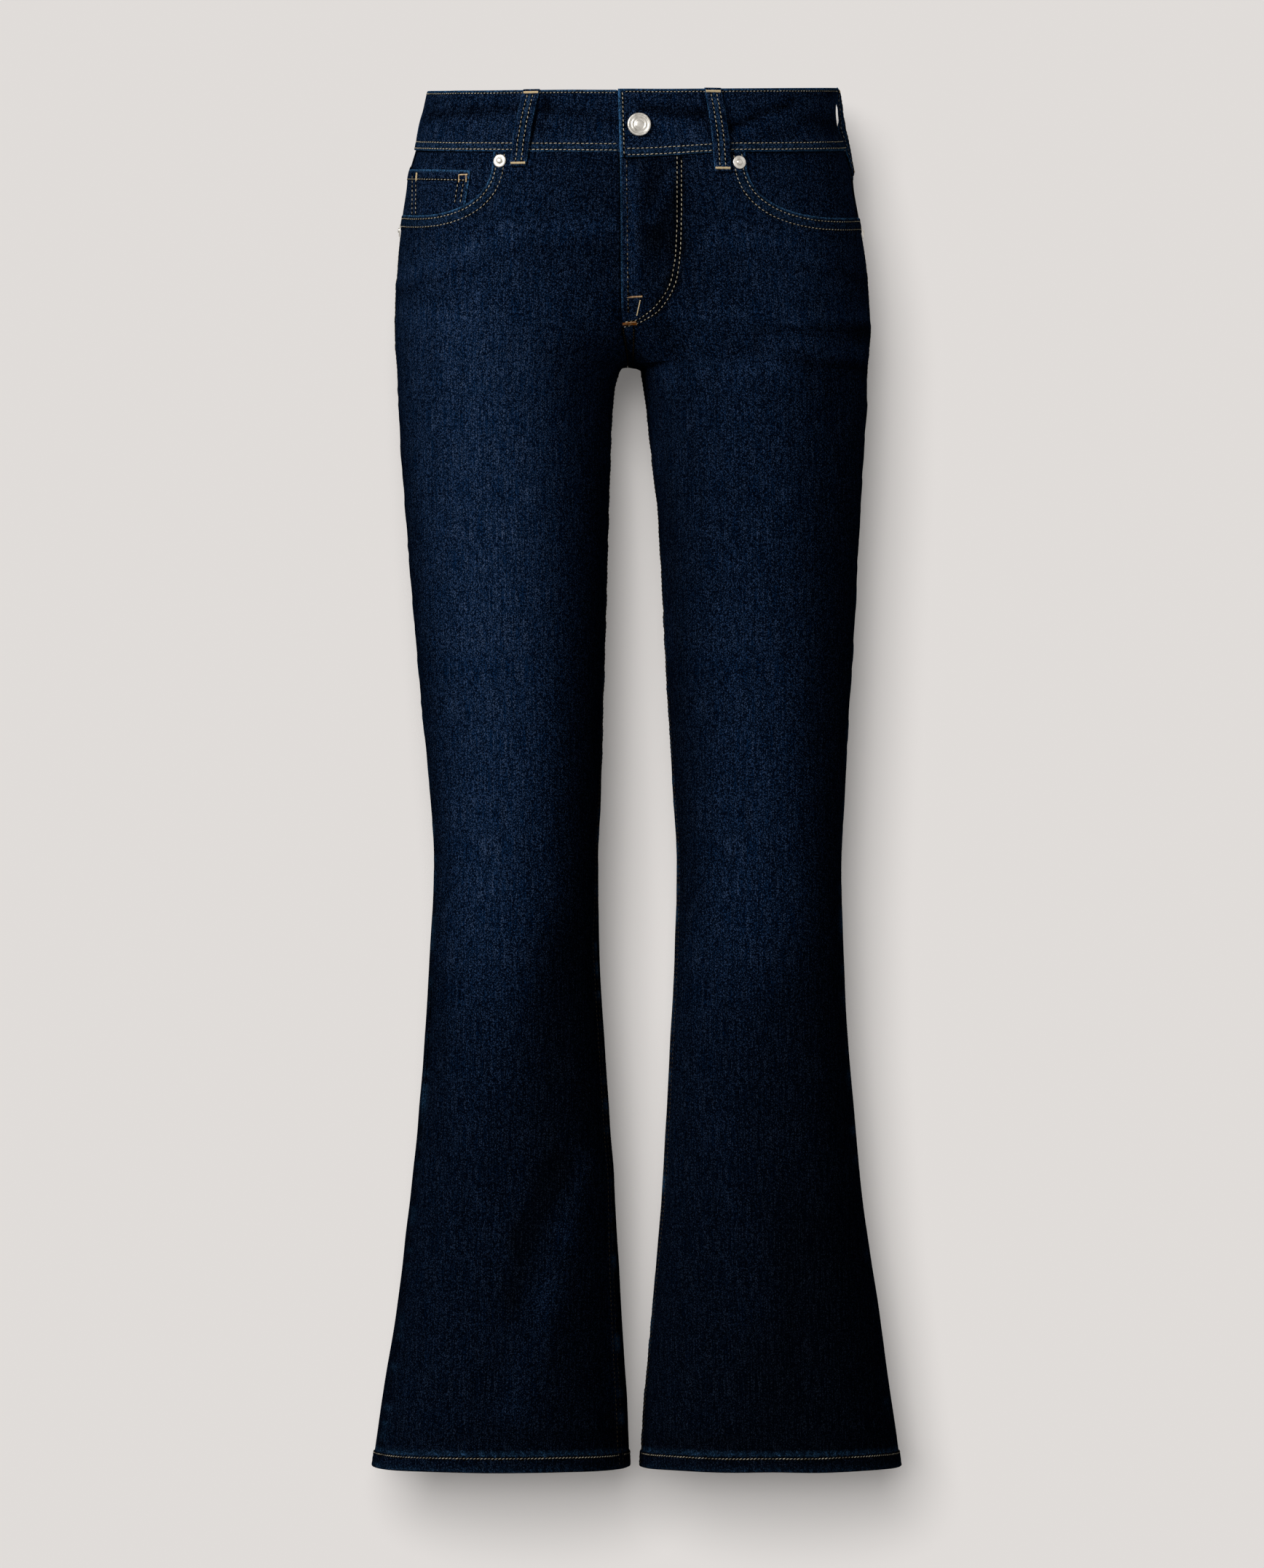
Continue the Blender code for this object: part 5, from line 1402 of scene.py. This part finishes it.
for leg in SIGN:
    u, v = np.broadcast_arrays(crowded(64, 0.5)[None], crowded(66, 0.5)[:, None])
    across, heights = back_pocket_places(u, v)
    distance = distance_of(leg, "back", heights, across)
    down = v * PATCH_LENGTH
    edge = np.minimum(np.minimum(u, 1 - u) * PATCH_WIDTH, np.minimum(v, 1 - v) * PATCH_LENGTH)
    out = BACK_POCKET_OUT - 0.8 * np.clip(1 - edge / 0.9, 0, 1) ** 2
    out = out + 0.4 * ease((17 - down) / 2)
    out = out + 0.5 * noise(np.stack([u * 80, v * 110], -1), 30.0, 55)
    points, normals = place(leg, "back", heights, distance, out)
    rub = 0.75 * bell(edge, 1.1)
    fade = fade_and_shading_of(leg, "back", heights, distance) + 0.12
    piece = sheet("denim_back_pocket_" + leg, points, normals,
                  grain_of(leg, "back", heights, distance), fade, rub, thickness=1.0)
    hang(piece, "back_pocket_" + leg, "denim_back_" + leg, *cut_of(points))

# %% [markdown]
# ## Behind the fly
# The closed zip and the strip behind it lie under the lap. They hardly show, but someone who looks
# in from above sees them, so they get the same kind of sheets as the rest, with less detail.

# %% Fly shield and zip
sewn = CLOTH + 2 * LAY_GAP
SHIELD = ((-10, sewn), (-4, sewn), (-1, 2.6), (3, 4.6), (14, 4.9), (24, 4.9), (33, 4.9))
stations = np.interp(np.linspace(0, 6, 31), range(7), [s[0] for s in SHIELD])
depths = np.interp(np.linspace(0, 6, 31), range(7), [s[1] for s in SHIELD])
shield_top = float(band_bottom("left", "front", 0.0)) - SEAM_GAP - 0.2
heights = np.broadcast_to(np.linspace(shield_top, FLY_LENGTH_END + 8, 44)[:, None], (44, 31))
spread, inwards = (np.broadcast_to(values[None], heights.shape) for values in (stations, -depths))
points, normals = over_centre("front", heights, spread, inwards)
grain = np.stack([spread * MM, heights * MM], -1)
piece = sheet("denim_fly_shield", points, normals, grain, 0.1, 0.0, thickness=1.1)
hang(piece, "fly_shield", "denim_front_right", (0.044, float(np.ptp(heights)) * MM))

# %% Zip tape
TAPE_CHAIN = 12.0
tape, tape_shader = new_material("Woven polyester zip tape")
# A tape is a close plain weave with a slight rib across it, which gives it a dull, even face.
tape_place = add(tape, "UVMap", {"uv_map": "grain"})[0]
ribs = add(tape, "TexWave", {"bands_direction": "Y"}, Vector=tape_place, Scale=480.0,
           Distortion=0.4)[1]
tape_colour = add(tape, "Mix", BLEND, _0=ribs, _6=linear("#0c121c"), _7=linear("#1b2536"))[2]
tape.node_tree.links.new(tape_colour, tape_shader.inputs["Base Color"])
tape_shader.inputs["Roughness"].default_value = 0.85
slider_top = float(band_bottom("left", "front", 0.0)) - 4.0
tape_top = slider_top - 11.0 - SEAM_GAP
tape_low = FLY_LENGTH_END + 12
heights = np.broadcast_to(np.linspace(tape_top, tape_low, 50)[:, None], (50, 9))
distance = np.broadcast_to((TAPE_CHAIN + np.linspace(-10, 10, 9))[None], heights.shape)
points, normals = place("left", "front", heights, distance, -(CLOTH + 2 * LAY_GAP) - 0.5)
grain = np.stack([distance * MM, heights * MM], -1)
piece = sheet("zip_tape_woven", points, normals, grain, 0.0, 0.0, thickness=0.6,
              materials=(tape, tape))
hang(piece, "zip_tape", "denim_fly_shield", (0.020, (tape_top - tape_low) * MM), slot="zip_tape")

# %% [markdown]
# ## Stitches
# The top-stitching is a thick tan thread, about 3 mm a stitch. One stitch is modelled, a thread
# that bulges between the two holes it dives into, and it is copied along every line, each copy
# turned to the line and to the cloth, and sunk a little into it. A line of single meshes joined
# in one object is quick to draw; a texture would stay flat at the edge of the light.

# %% One stitch
deselect()
bpy.ops.mesh.primitive_uv_sphere_add(segments=6, ring_count=4, radius=0.5)
stitch = bpy.context.object
stitch.name = "one stitch"
bpy.ops.object.mode_set(mode="EDIT")
bpy.ops.mesh.select_all(action="SELECT")
bpy.ops.transform.rotate(value=math.pi / 2, orient_axis="Y", center_override=(0, 0, 0))
bpy.ops.object.mode_set(mode="OBJECT")
STITCH_CORNERS = np.array([corner.co[:] for corner in stitch.data.vertices])
STITCH_FACES = [list(face.vertices) for face in stitch.data.polygons]
bpy.data.objects.remove(stitch, do_unlink=True)
print("one stitch has", sum(len(face) - 2 for face in STITCH_FACES), "triangles")

THREAD = 0.72          # mm thick
PITCH = 3.3            # mm from one stitch to the next
STITCH_LENGTH = 2.5
THREAD_RISE = 0.12     # mm from the cloth up to the thread's middle
RUNS = {}


def add_stitches(group, centres, forward, normals, length, width, height, tone):
    """Keeps a row of stitches for later: where each is, how it lies, and its size in mm."""
    forward = unit(forward)
    side = unit(np.cross(normals, forward))
    up = np.cross(forward, side)
    count = len(centres)
    size = np.stack([np.broadcast_to(v, count) for v in (length, width, height)], 1)
    RUNS.setdefault(group, []).append((centres, forward, side, up, size,
                                       np.broadcast_to(tone, count)))


def stitch_line(group, points, normals, tone=0.5, pitch=PITCH, length=STITCH_LENGTH, slant=0.10,
                bed=True):
    """Stitches at even steps along a line of points in mm."""
    steps = running_lengths(points)
    count = max(int(steps[-1] / pitch), 1)
    at = (np.arange(count) + 0.5) * steps[-1] / count
    number = len(RUNS.get(group, [])) * 13.7
    centres = along(points, steps, at)
    forward = along(points, steps, at + 0.8) - along(points, steps, at - 0.8)
    normal = unit(along(normals, steps, at))
    side = np.cross(normal, forward)
    shake = noise(np.stack([at, np.full(count, number)], 1), 2.3, 101)[:, None]
    centres = centres + side * 0.06 * shake
    forward = forward + side * (slant + 0.08 * shake)
    tones = tone + 0.22 * noise(np.stack([at, np.full(count, number)], 1), 3.9, 102)
    lengths = length * (1 + 0.06 * shake[:, 0])
    add_stitches(group, centres + normal * THREAD_RISE, forward, normal, lengths, THREAD,
                 THREAD * 0.72, tones)
    if bed:
        # A near-black flat stitch under every second stitch is painted shade: the shade in the
        # groove that the stitches pull into the cloth.
        half = slice(0, None, 2)
        add_stitches("painted_groove_shade", centres[half] + normal[half] * 0.02, forward[half], normal[half],
                     pitch * 2.8, 1.6, 0.30, 0.5)


def run(group, leg, panel, heights, distances, out, **options):
    """A line of stitches through places on a panel."""
    heights, distances, out = matched(heights, distances, out)
    points, normals = place(leg, panel, heights, distances, out)
    stitch_line(group, points, normals, **options)


def tack(group, leg, panel, height, distance, angle, length, width, out, tone=0.9):
    """A bar tack: threads laid side by side across a short line, at an angle in degrees."""
    turn = math.radians(angle)
    forward = np.array([math.cos(turn), math.sin(turn)])
    across = np.array([-forward[1], forward[0]])
    steps = np.arange(-length / 2, length / 2 + 0.01, 0.52)[:, None]
    middle = np.array([distance, height]) + forward * steps
    ends = []
    for side in (-0.5, 0.5):
        at = middle + across * width * side
        ends.append(place(leg, panel, at[:, 1], at[:, 0], out))
    centres = (ends[0][0] + ends[1][0]) / 2
    normals = unit(ends[0][1] + ends[1][1])
    shake = noise(np.concatenate([steps, steps * 0 + height], 1), 0.9, 103)
    add_stitches(group, centres, ends[1][0] - ends[0][0], normals, width * (1 + 0.08 * shake), 0.62,
                 0.75, tone + 0.15 * shake)


# %% Thread material
def thread(name, dark, light):
    """Twisted polyester-cotton thread: soft and matt, painted darker where it dives into the cloth,
    which is painted shade.
    """
    material, shader = new_material(name)
    tone = add(material, "Attribute", {"attribute_name": "tone"})[2]
    where = add(material, "TexCoord")["Object"]
    fuzz = add(material, "TexNoise", (), Vector=where, Scale=1700.0, Detail=1.0)[0]
    mixed = add(material, "Math", TIMES_PLUS, _0=fuzz, _1=0.5, _2=tone)[0]
    share = add(material, "MapRange", (), Value=mixed, From_Min=0.15, From_Max=0.95)[0]
    colour = add(material, "Mix", BLEND, _0=share, _6=linear(dark), _7=linear(light))[2]
    material.node_tree.links.new(colour, shader.inputs["Base Color"])
    shader.inputs["Roughness"].default_value = 0.9
    shader.inputs["Specular IOR Level"].default_value = 0.0
    return material


TAN_THREAD = thread("Tan top-stitching thread", "#1d120a", "#ddd3bb")
# The seam thread is dull brown, and is set darker still as painted shade for the inseams, which
# face away from the light.
DARK_SEAM_THREAD_WITH_SHADE = thread("Dull brown seam thread with painted shade", "#1c1813", "#4d4334")
# Near black: painted shade for the grooves round the stitches.
GROOVE_SHADE_PAINT = thread("Painted groove shade, near black", "#030303", "#090706")
ORANGE_THREAD = thread("Orange-tan bar tack thread", "#9a5410", "#f6dfb2")


def join_stitches(group, material):
    """One mesh with every stitch of a group, closed and facing outwards."""
    parts = [np.concatenate([line[index] for line in RUNS[group]]) for index in range(6)]
    centres, forward, side, up, size, tones = parts
    count, corners = len(centres), len(STITCH_CORNERS)
    local = STITCH_CORNERS[None] * size[:, None]
    # Both ends dive into the cloth.
    local[..., 2] -= (np.abs(STITCH_CORNERS[:, 0]) * 2) ** 2 * size[:, 2:3] * 0.45
    corners_at = (centres[:, None] + local[..., 0:1] * forward[:, None]
                  + local[..., 1:2] * side[:, None] + local[..., 2:3] * up[:, None])
    faces = [[index + corners * number for index in face]
             for number in range(count) for face in STITCH_FACES]
    mesh = bpy.data.meshes.new("stitches_" + group)
    mesh.from_pydata((corners_at.reshape(-1, 3) * MM).tolist(), [], faces)
    # A stitch's two ends are painted darker: painted shade where the thread dives into the cloth.
    ends = 1.1 * (np.abs(STITCH_CORNERS[:, 0]) * 2) ** 6
    shades = (tones[:, None] - ends[None]).ravel()
    mesh.attributes.new("tone", "FLOAT", "POINT").data.foreach_set("value", shades)
    mesh.materials.append(material)
    mesh.shade_smooth()
    piece = bpy.data.objects.new("stitches_" + group, mesh)
    SCENE.collection.objects.link(piece)
    finish_piece(piece, "denim")
    print(piece.name, count, "stitches,", triangles(piece), "triangles")


# %% Stitches of the waistband
def band_run(row, group, first, last, **options):
    """A line round the waistband through its own grid: the row at a fixed place in the profile."""
    stitch_line(group, band_points[row, first:last], band_normals[row, first:last], **options)


HIDDEN_COLUMNS = 11
for row in (6, 10):
    band_run(row, "waist", 5, -HIDDEN_COLUMNS, tone=0.62, length=2.8)
band_run(21, "waist", 5, -HIDDEN_COLUMNS, pitch=2.7, length=1.9)
end_column = int(np.searchsorted(band_reach, 2.6))
end_rows = slice(6, 22)
stitch_line("waist", band_points[end_rows, end_column], band_normals[end_rows, end_column])
print("lines round the waistband:", len(RUNS["waist"]))

# %% Stitches of the pocket mouths
for leg in SIGN:
    for into, out in ((2.9, 0.5), (8.8, 0.42)):
        line, inward, steps = inward_from(*mouth(leg), 1.0)
        at = line + inward * into
        whole = girth(leg, "front", at[:, 1])
        inside = (at[:, 1] < band_bottom(leg, "front", at[:, 0]) - 0.8) & (at[:, 0] < whole - 1.0)
        run("front", leg, "front", at[inside, 1], at[inside, 0], out)
print("lines on the pocket mouths:", len(RUNS["front"]))

# %% Stitches of the legs
HEM_STITCH = HEM_BOTTOM + 10.3


def seam_heights(top, low):
    return np.arange(top, low, -1.0)


for leg in SIGN:
    levels = seam_heights(CROTCH_HEIGHT - 6, HEM_BOTTOM + 2)
    for away, out in ((2.2, 0.35), (8.6, 0.32)):
        run("seams", leg, "front", levels, away, out + hem_raise(levels), tone=0.45, bed=False)
    for panel in ("front", "back"):
        share = np.linspace(0, 1, 300)
        whole = float(girth(leg, panel, HEM_STITCH))
        point = flat_point(leg, panel, HEM_STITCH, share * whole)
        level = HEM_STITCH + 0.45 * noise(point[..., :2], 34.0, 63)
        level = level + 0.4 * noise(point[..., :2], 50.0, 64)
        run("legs", leg, panel, level, SEAM_GAP + share * (whole - 2 * SEAM_GAP), HEM_RAISE,
            tone=0.30, pitch=2.6, length=2.7, slant=0.38)
    # The side seam is topstitched from the waistband down over the hip, and stops in a tack.
    levels = seam_heights(-84, -190)
    run("front", leg, "back", levels, girth(leg, "back", levels) - 2.0, 0.0)
print("lines down the inseams and round the hems:", len(RUNS["seams"]), len(RUNS["legs"]))

# %% Stitches of the fly, the rise and the seat
# The fly's curve, in columns and rows of the front view.
J_INNER = ((930, 213), (930, 303), (929, 326), (928, 349), (925.6, 366), (922, 384), (915, 401),
           (906.5, 413), (896.5, 424), (886, 432), (874, 439), (857, 441.5))
J_OUTER = ((936, 218), (936, 280), (935, 334), (933.6, 353.5), (931.7, 370), (929, 384),
           (922.6, 401), (913.4, 416), (902.7, 428), (892, 435), (881, 441), (870.5, 445),
           (855, 448.4))


def seen_at(column, row, depth=-107.0):
    """x and height of a column and a row of the front view, for a depth y in mm."""
    size = MM_PER_DOT * (1 + depth / CAMERA_AWAY)
    column, row = matched(column, row)
    return (column - VIEW_WIDTH / 2) * size, CAMERA_HEIGHT + (VIEW_HEIGHT / 2 - row) * size


def smooth_line(places):
    """Even steps along a soft curve through places."""
    places = np.array(places, float)
    reach = running_lengths(places)
    curves = [smooth_curve(reach, places[:, axis]) for axis in (0, 1)]
    at = np.arange(0, reach[-1], 0.8)
    return np.stack([curve(at) for curve in curves], 1)


for outline in (J_INNER, J_OUTER):
    x, height = seen_at(*smooth_line(outline).T)
    distance = distance_at_x("left", "front", height, x)
    run("front", "left", "front", height, np.maximum(distance, 0.8), 0.02, pitch=3.5)
fly = seam_heights(float(band_bottom("left", "front", 3.0)) - 1.2, -146)
run("front", "left", "front", fly, 4.9, 0.7 * ease((9 - 4.9) / 9) - 0.1, tone=0.1)
for column, row, angle, length, width, tone in ((869.5, 408, 3, 13, 1.9, 0.35),
                                                (877, 422.5, 76, 11, 1.0, 0.85)):
    x, height = seen_at(column, row)
    distance = float(distance_at_x("left", "front", height, x))
    tack("tacks", "left", "front", height, distance, angle, length, width, 0.1, tone)
# The wide tack is dark orange; the narrow paler one laid on it is a painted highlight.
for row, distance, angle, length, width, out, tone in ((444, 6.0, 0, 10.5, 3.2, 0.35, 0.05),
                                                       (441.5, 6.6, 4, 8.0, 1.0, 0.6, 0.30)):
    tack("tacks", "left", "front", seen_at(0, row)[1], distance, angle, length, width, out, tone)
for column in (856.0, 870.5):
    x, levels = seen_at(np.linspace(column, column + (862 - column) * 0.15, 60),
                        np.linspace(450, 494, 60))
    distance = np.maximum(distance_at_x("left", "front", levels, x), 0.9)
    run("seams", "left", "front", levels, distance, 0.05, tone=1.2)
for away in (1.9, 8.0):
    levels = seam_heights(-90, CROTCH_HEIGHT + 2)
    run("back", "left", "back", levels, away, 0.1)
for leg in SIGN:
    share = np.linspace(0.012, 0.988, 200)
    for above in (2.0, 8.2):
        levels = yoke_seam(share) + above
        run("back", leg, "back", levels, distance_of(leg, "back", levels, share), 0.45)
print("lines on the front with the fly:", len(RUNS["front"]))

# %% Stitches of the pockets on the seat and of the coin pocket
for leg in SIGN:
    for inset in (2.2, 8.0):
        u0, v0 = inset / PATCH_WIDTH, inset / PATCH_LENGTH
        border = np.array([(u0, 0.012), (u0, 1 - v0), (0.5, 1 - v0), (1 - u0, 1 - v0),
                           (1 - u0, 0.012)])
        reach = running_lengths(border * (PATCH_WIDTH, PATCH_LENGTH))
        u, v = along(border, reach, np.linspace(0, reach[-1], 420)).T
        across, levels = back_pocket_places(u, v)
        run("back", leg, "back", levels, distance_of(leg, "back", levels, across),
            BACK_POCKET_OUT + 0.4 * ease((17 - v * PATCH_LENGTH) / 2))
    for below in (3.0, 15.0):
        u = np.linspace(0.03, 0.97, 120)
        across, levels = back_pocket_places(u, np.full(120, below / PATCH_LENGTH))
        run("back", leg, "back", levels, distance_of(leg, "back", levels, across),
            BACK_POCKET_OUT + 0.4)
    for u in (0.035, 0.965):
        across, level = back_pocket_places(np.array(u), np.array(0.03))
        distance = float(distance_of(leg, "back", level, across))
        tack("tacks", leg, "back", float(level), distance, 90, 7, 2.6, BACK_POCKET_OUT + 0.4)

share = np.linspace(0.03, 0.97, 60)
level = COIN_TOP[0] + (COIN_TOP[1] - COIN_TOP[0]) * share - 7.2
first = coin_edge(level)
distance = first + (girth("right", "front", level) - first) * share
run("front", "right", "front", level, distance, 0.3)
for inset in (4.2, 9.2):
    level = seam_heights(COIN_TOP[0] - 9.0, -66)
    distance = coin_edge(level) + inset
    above_mouth = level > np.interp(distance, mouth_distances, mouth_heights) + 1
    run("front", "right", "front", level[above_mouth], distance[above_mouth], 0.25)
for column in (565.7, 570.8):
    x, level = seen_at(column, np.arange(237, 301, 1.5), -60.0)
    run("front", "right", "front", level, distance_at_x("right", "front", level, x), 0.25)
for below, inset, angle, length in ((3.0, 5.6, 0, 7.4), (5.6, 2.4, 90, 5.4), (5.6, 8.8, 90, 5.4)):
    level = COIN_TOP[0] - below
    distance = float(coin_edge(level)) + inset
    tack("tacks", "right", "front", level, distance, angle, length, 1.3, 0.5, 0.6)
x, level = seen_at(571.5, 240.0, -60.0)
distance = float(distance_at_x("right", "front", level, x))
tack("tacks", "right", "front", level, distance, 90, 5.5, 3.0, 0.5, 1.1)
print("lines on the seat:", len(RUNS["back"]))

# %% Stitches and tacks of the belt loops
for number, (leg, panel, heights, distance, out) in LOOP_PLACES.items():
    for column in (4, 6):
        line = (heights[:, column], distance[:, column], out[:, column])
        centred = leg == "centre"
        points, normals = over_centre(panel, *line) if centred else place(leg, panel, *line)
        stitch_line("loops", points[3:-3], normals[3:-3])
    for row in () if leg == "centre" else (2, -3):
        tack("tacks", leg, panel, float(heights[row, 5]), float(distance[row, 5]), 0, 10.8, 2.2,
             float(out[row, 5]) + 0.15, 0.85)
print("lines on the loops, and bar tacks:", len(RUNS["loops"]), len(RUNS["tacks"]))

# %% Join the stitches
for group in ("waist", "front", "legs"):
    join_stitches(group, TAN_THREAD)
join_stitches("seams", DARK_SEAM_THREAD_WITH_SHADE)
for group in ("back", "loops"):
    join_stitches(group, TAN_THREAD)
join_stitches("painted_groove_shade", GROOVE_SHADE_PAINT)
join_stitches("tacks", ORANGE_THREAD)

# %% [markdown]
# ## Metal
# The button and the rivets are pressed from brass sheet and nickel-plated. The press leaves round
# rims and rings. Each starts as a disc that is drawn up ring by ring, and stays free of lettering.


# %% A pressed piece
def nickel_plate(name):
    """Satin nickel: bright, a little warm, scuffed in fine patches by wear."""
    material, shader = new_material(name)
    where = add(material, "TexCoord")["Object"]
    scuffs = add(material, "TexNoise", (), Vector=where, Scale=900.0, Detail=3.0, Roughness=0.65)[0]
    stain = add(material, "TexNoise", (), Vector=where, Scale=260.0, Detail=2.0)[0]
    gloss = add(material, "MapRange", (), Value=scuffs, From_Min=0.3, From_Max=0.7,
                To_Min=0.30, To_Max=0.48)[0]
    stain = add(material, "MapRange", (), Value=stain, From_Min=0.3, From_Max=0.7)[0]
    colour = add(material, "Mix", BLEND, _0=stain, _6=linear("#aaa79f"), _7=linear("#dedbd4"))[2]
    material.node_tree.links.new(gloss, shader.inputs["Roughness"])
    material.node_tree.links.new(colour, shader.inputs["Base Color"])
    shader.inputs["Metallic"].default_value = 1.0
    bump = add(material, "Bump", (), Height=scuffs, Strength=0.15, Distance=0.0001)[0]
    material.node_tree.links.new(bump, shader.inputs["Normal"])
    return material


NICKEL = nickel_plate("Satin nickel plate")


def pressed(name, profile, segments, centre, normal, *nodes):
    """A disc drawn up ring by ring through (radius, height) pairs, then set on the cloth."""
    deselect()
    radius, height = profile[0]
    bpy.ops.mesh.primitive_circle_add(vertices=segments, radius=radius * MM, fill_type="NGON",
                                      location=(0, 0, height * MM))
    piece = bpy.context.object
    bpy.ops.object.transform_apply(location=True)
    piece.name = piece.data.name = name
    bpy.ops.object.mode_set(mode="EDIT")
    bpy.ops.mesh.select_all(action="SELECT")
    for new_radius, new_height in profile[1:]:
        move = {"value": (0, 0, (new_height - height) * MM)}
        bpy.ops.mesh.extrude_region_move(TRANSFORM_OT_translate=move)
        scale = new_radius / radius
        bpy.ops.transform.resize(value=(scale, scale, 1), center_override=(0, 0, new_height * MM))
        radius, height = new_radius, new_height
    bpy.ops.mesh.select_all(action="SELECT")
    bpy.ops.mesh.normals_make_consistent(inside=False)
    bpy.ops.object.mode_set(mode="OBJECT")
    piece.rotation_euler = Vector(normal).to_track_quat("Z", "Y").to_euler()
    piece.location = [v * MM for v in centre]
    bpy.ops.object.transform_apply(location=True, rotation=True)
    piece.data.materials.append(NICKEL)
    bpy.ops.object.shade_smooth_by_angle(angle=math.radians(50))
    finish_piece(piece, "nickel", *nodes)
    print(piece.name, triangles(piece), "triangles")
    return piece


BUTTON_PROFILE = ((3.4, 0), (4.2, 0.5), (7.6, 0.7), (8.2, 0.95), (8.55, 1.4), (8.6, 1.9),
                  (8.4, 2.45), (8.0, 2.85), (7.5, 3.0), (7.05, 2.85), (6.75, 2.5), (6.4, 2.3),
                  (5.5, 2.25), (5.2, 2.5), (4.9, 2.65), (4.6, 2.55), (4.3, 2.1), (3.5, 2.0),
                  (3.0, 2.45), (2.1, 2.95), (1.1, 3.1), (0.3, 3.12))
RIVET_PROFILE = ((4.6, 0.0), (4.9, 0.1), (4.85, 0.35), (4.5, 0.62), (4.0, 0.78), (3.3, 0.8),
                 (2.7, 0.62), (2.1, 0.45), (1.9, 0.6), (1.8, 1.3), (1.5, 1.6), (1.0, 1.72),
                 (0.3, 1.75))

# %% Button and rivets
height, x = -10.0, 5.0
distance = float(distance_at_x("left", "front", height, x))
seat = BAND_CLOTH / 2 + float(lap_of(distance, BAND_LENGTH)) + 2 * LAY_GAP
centre, normal = place("left", "front", height, distance, seat)
pressed("button_plated", BUTTON_PROFILE, 72, centre, normal, "button")
for leg, x, height in (("right", -95.4, -35.0), ("left", 77.4, -36.2)):
    distance = distance_at_x(leg, "front", height, x)
    centre, normal = place(leg, "front", height, distance, 0.72)
    pressed("rivet_top_" + leg, RIVET_PROFILE, 40, centre, normal, "rivet_mouth_" + leg)
for leg, height in (("right", -80.6), ("left", -82.4)):
    centre, normal = place(leg, "front", height, float(girth(leg, "front", height)) - 7.5, 0.5)
    pressed("rivet_low_" + leg, RIVET_PROFILE, 40, centre, normal, "rivet_side_" + leg)
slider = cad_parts["zip_slider"]
slider.data.materials.clear()
slider.data.materials.append(NICKEL)

# %% [markdown]
# ## Light
# One broad sun from the upper left models the legs: it leaves their right sides dark. A second,
# nearly frontal one reaches only the backdrop, where the garment's soft shadow falls to the right
# and below. The paper and the sky are kept from lighting the cloth, so the denim stays deep.


# %% Backdrop and lights
def stage_plane(name, size, location, rotation, material):
    deselect()
    bpy.ops.mesh.primitive_plane_add(size=size, location=location, rotation=rotation)
    plane = bpy.context.object
    plane.name = name
    plane.data.materials.append(material)
    plane.visible_diffuse = False
    return plane


PALE = "#e0dcd9"
paper, paper_shader = new_material("Pale studio paper, matt")
paper_shader.inputs["Base Color"].default_value = linear(PALE)
paper_shader.inputs["Roughness"].default_value = 1.0
paper_shader.inputs["Specular IOR Level"].default_value = 0.0
# A share of the paper's brightness has no shadow: light that comes through it from the studio.
paper_shader.inputs["Emission Color"].default_value = linear(PALE)
paper_shader.inputs["Emission Strength"].default_value = 0.20
from_behind = add(paper, "NewGeometry")["Backfacing"]
clear = add(paper, "BsdfTransparent")[0]
both = add(paper, "MixShader", (), _0=from_behind, _1=paper_shader.outputs[0], _2=clear)[0]
paper.node_tree.links.new(both, paper.node_tree.nodes["Material Output"].inputs["Surface"])
backdrop = stage_plane("backdrop", 8.0, (0, 0.150, 0.5), (math.pi / 2, 0, 0), paper)

world = bpy.data.worlds.new("Even pale studio")
SCENE.world = world
world.use_nodes = True
background = world.node_tree.nodes["Background"]
background.inputs["Color"].default_value = linear(PALE)
background.inputs["Strength"].default_value = 0.9
world.cycles_visibility.diffuse = False


def sun(name, azimuth, elevation, spread, strength, *reaches):
    """A sun from a direction in degrees; it lights only the things it reaches."""
    turn, lift = math.radians(azimuth), math.radians(elevation)
    offset = (math.sin(turn) * math.cos(lift), -math.cos(turn) * math.cos(lift), math.sin(lift))
    bpy.ops.object.light_add(type="SUN", location=[3 * v for v in offset])
    lamp = bpy.context.object
    lamp.name = name
    lamp.data.angle = math.radians(spread)
    lamp.data.energy = strength
    lamp.rotation_euler = Vector(offset).to_track_quat("Z", "Y").to_euler()
    group = bpy.data.collections.new(name + " reaches")
    for thing in reaches:
        group.objects.link(thing)
    lamp.light_linking.receiver_collection = group
    return lamp


shown = list(PIECES.values()) + [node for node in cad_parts.values() if not node.hide_render]
sun("key light", -42, 24, 36, 2.3, *shown)
sun("fill light", 58, -8, 110, 0.56, *shown)
sun("back light", 165, 30, 50, 1.2, *shown)
sun("soft shadow light", -6.8, 12.0, 22.5, 1.98, backdrop)
sun("near shadow light", -3.2, 4.0, 11.0, 0.60, backdrop)

# %% Finish
bpy.context.view_layer.update()
print("triangles added:", sum(triangles(piece) for piece in PIECES.values()))
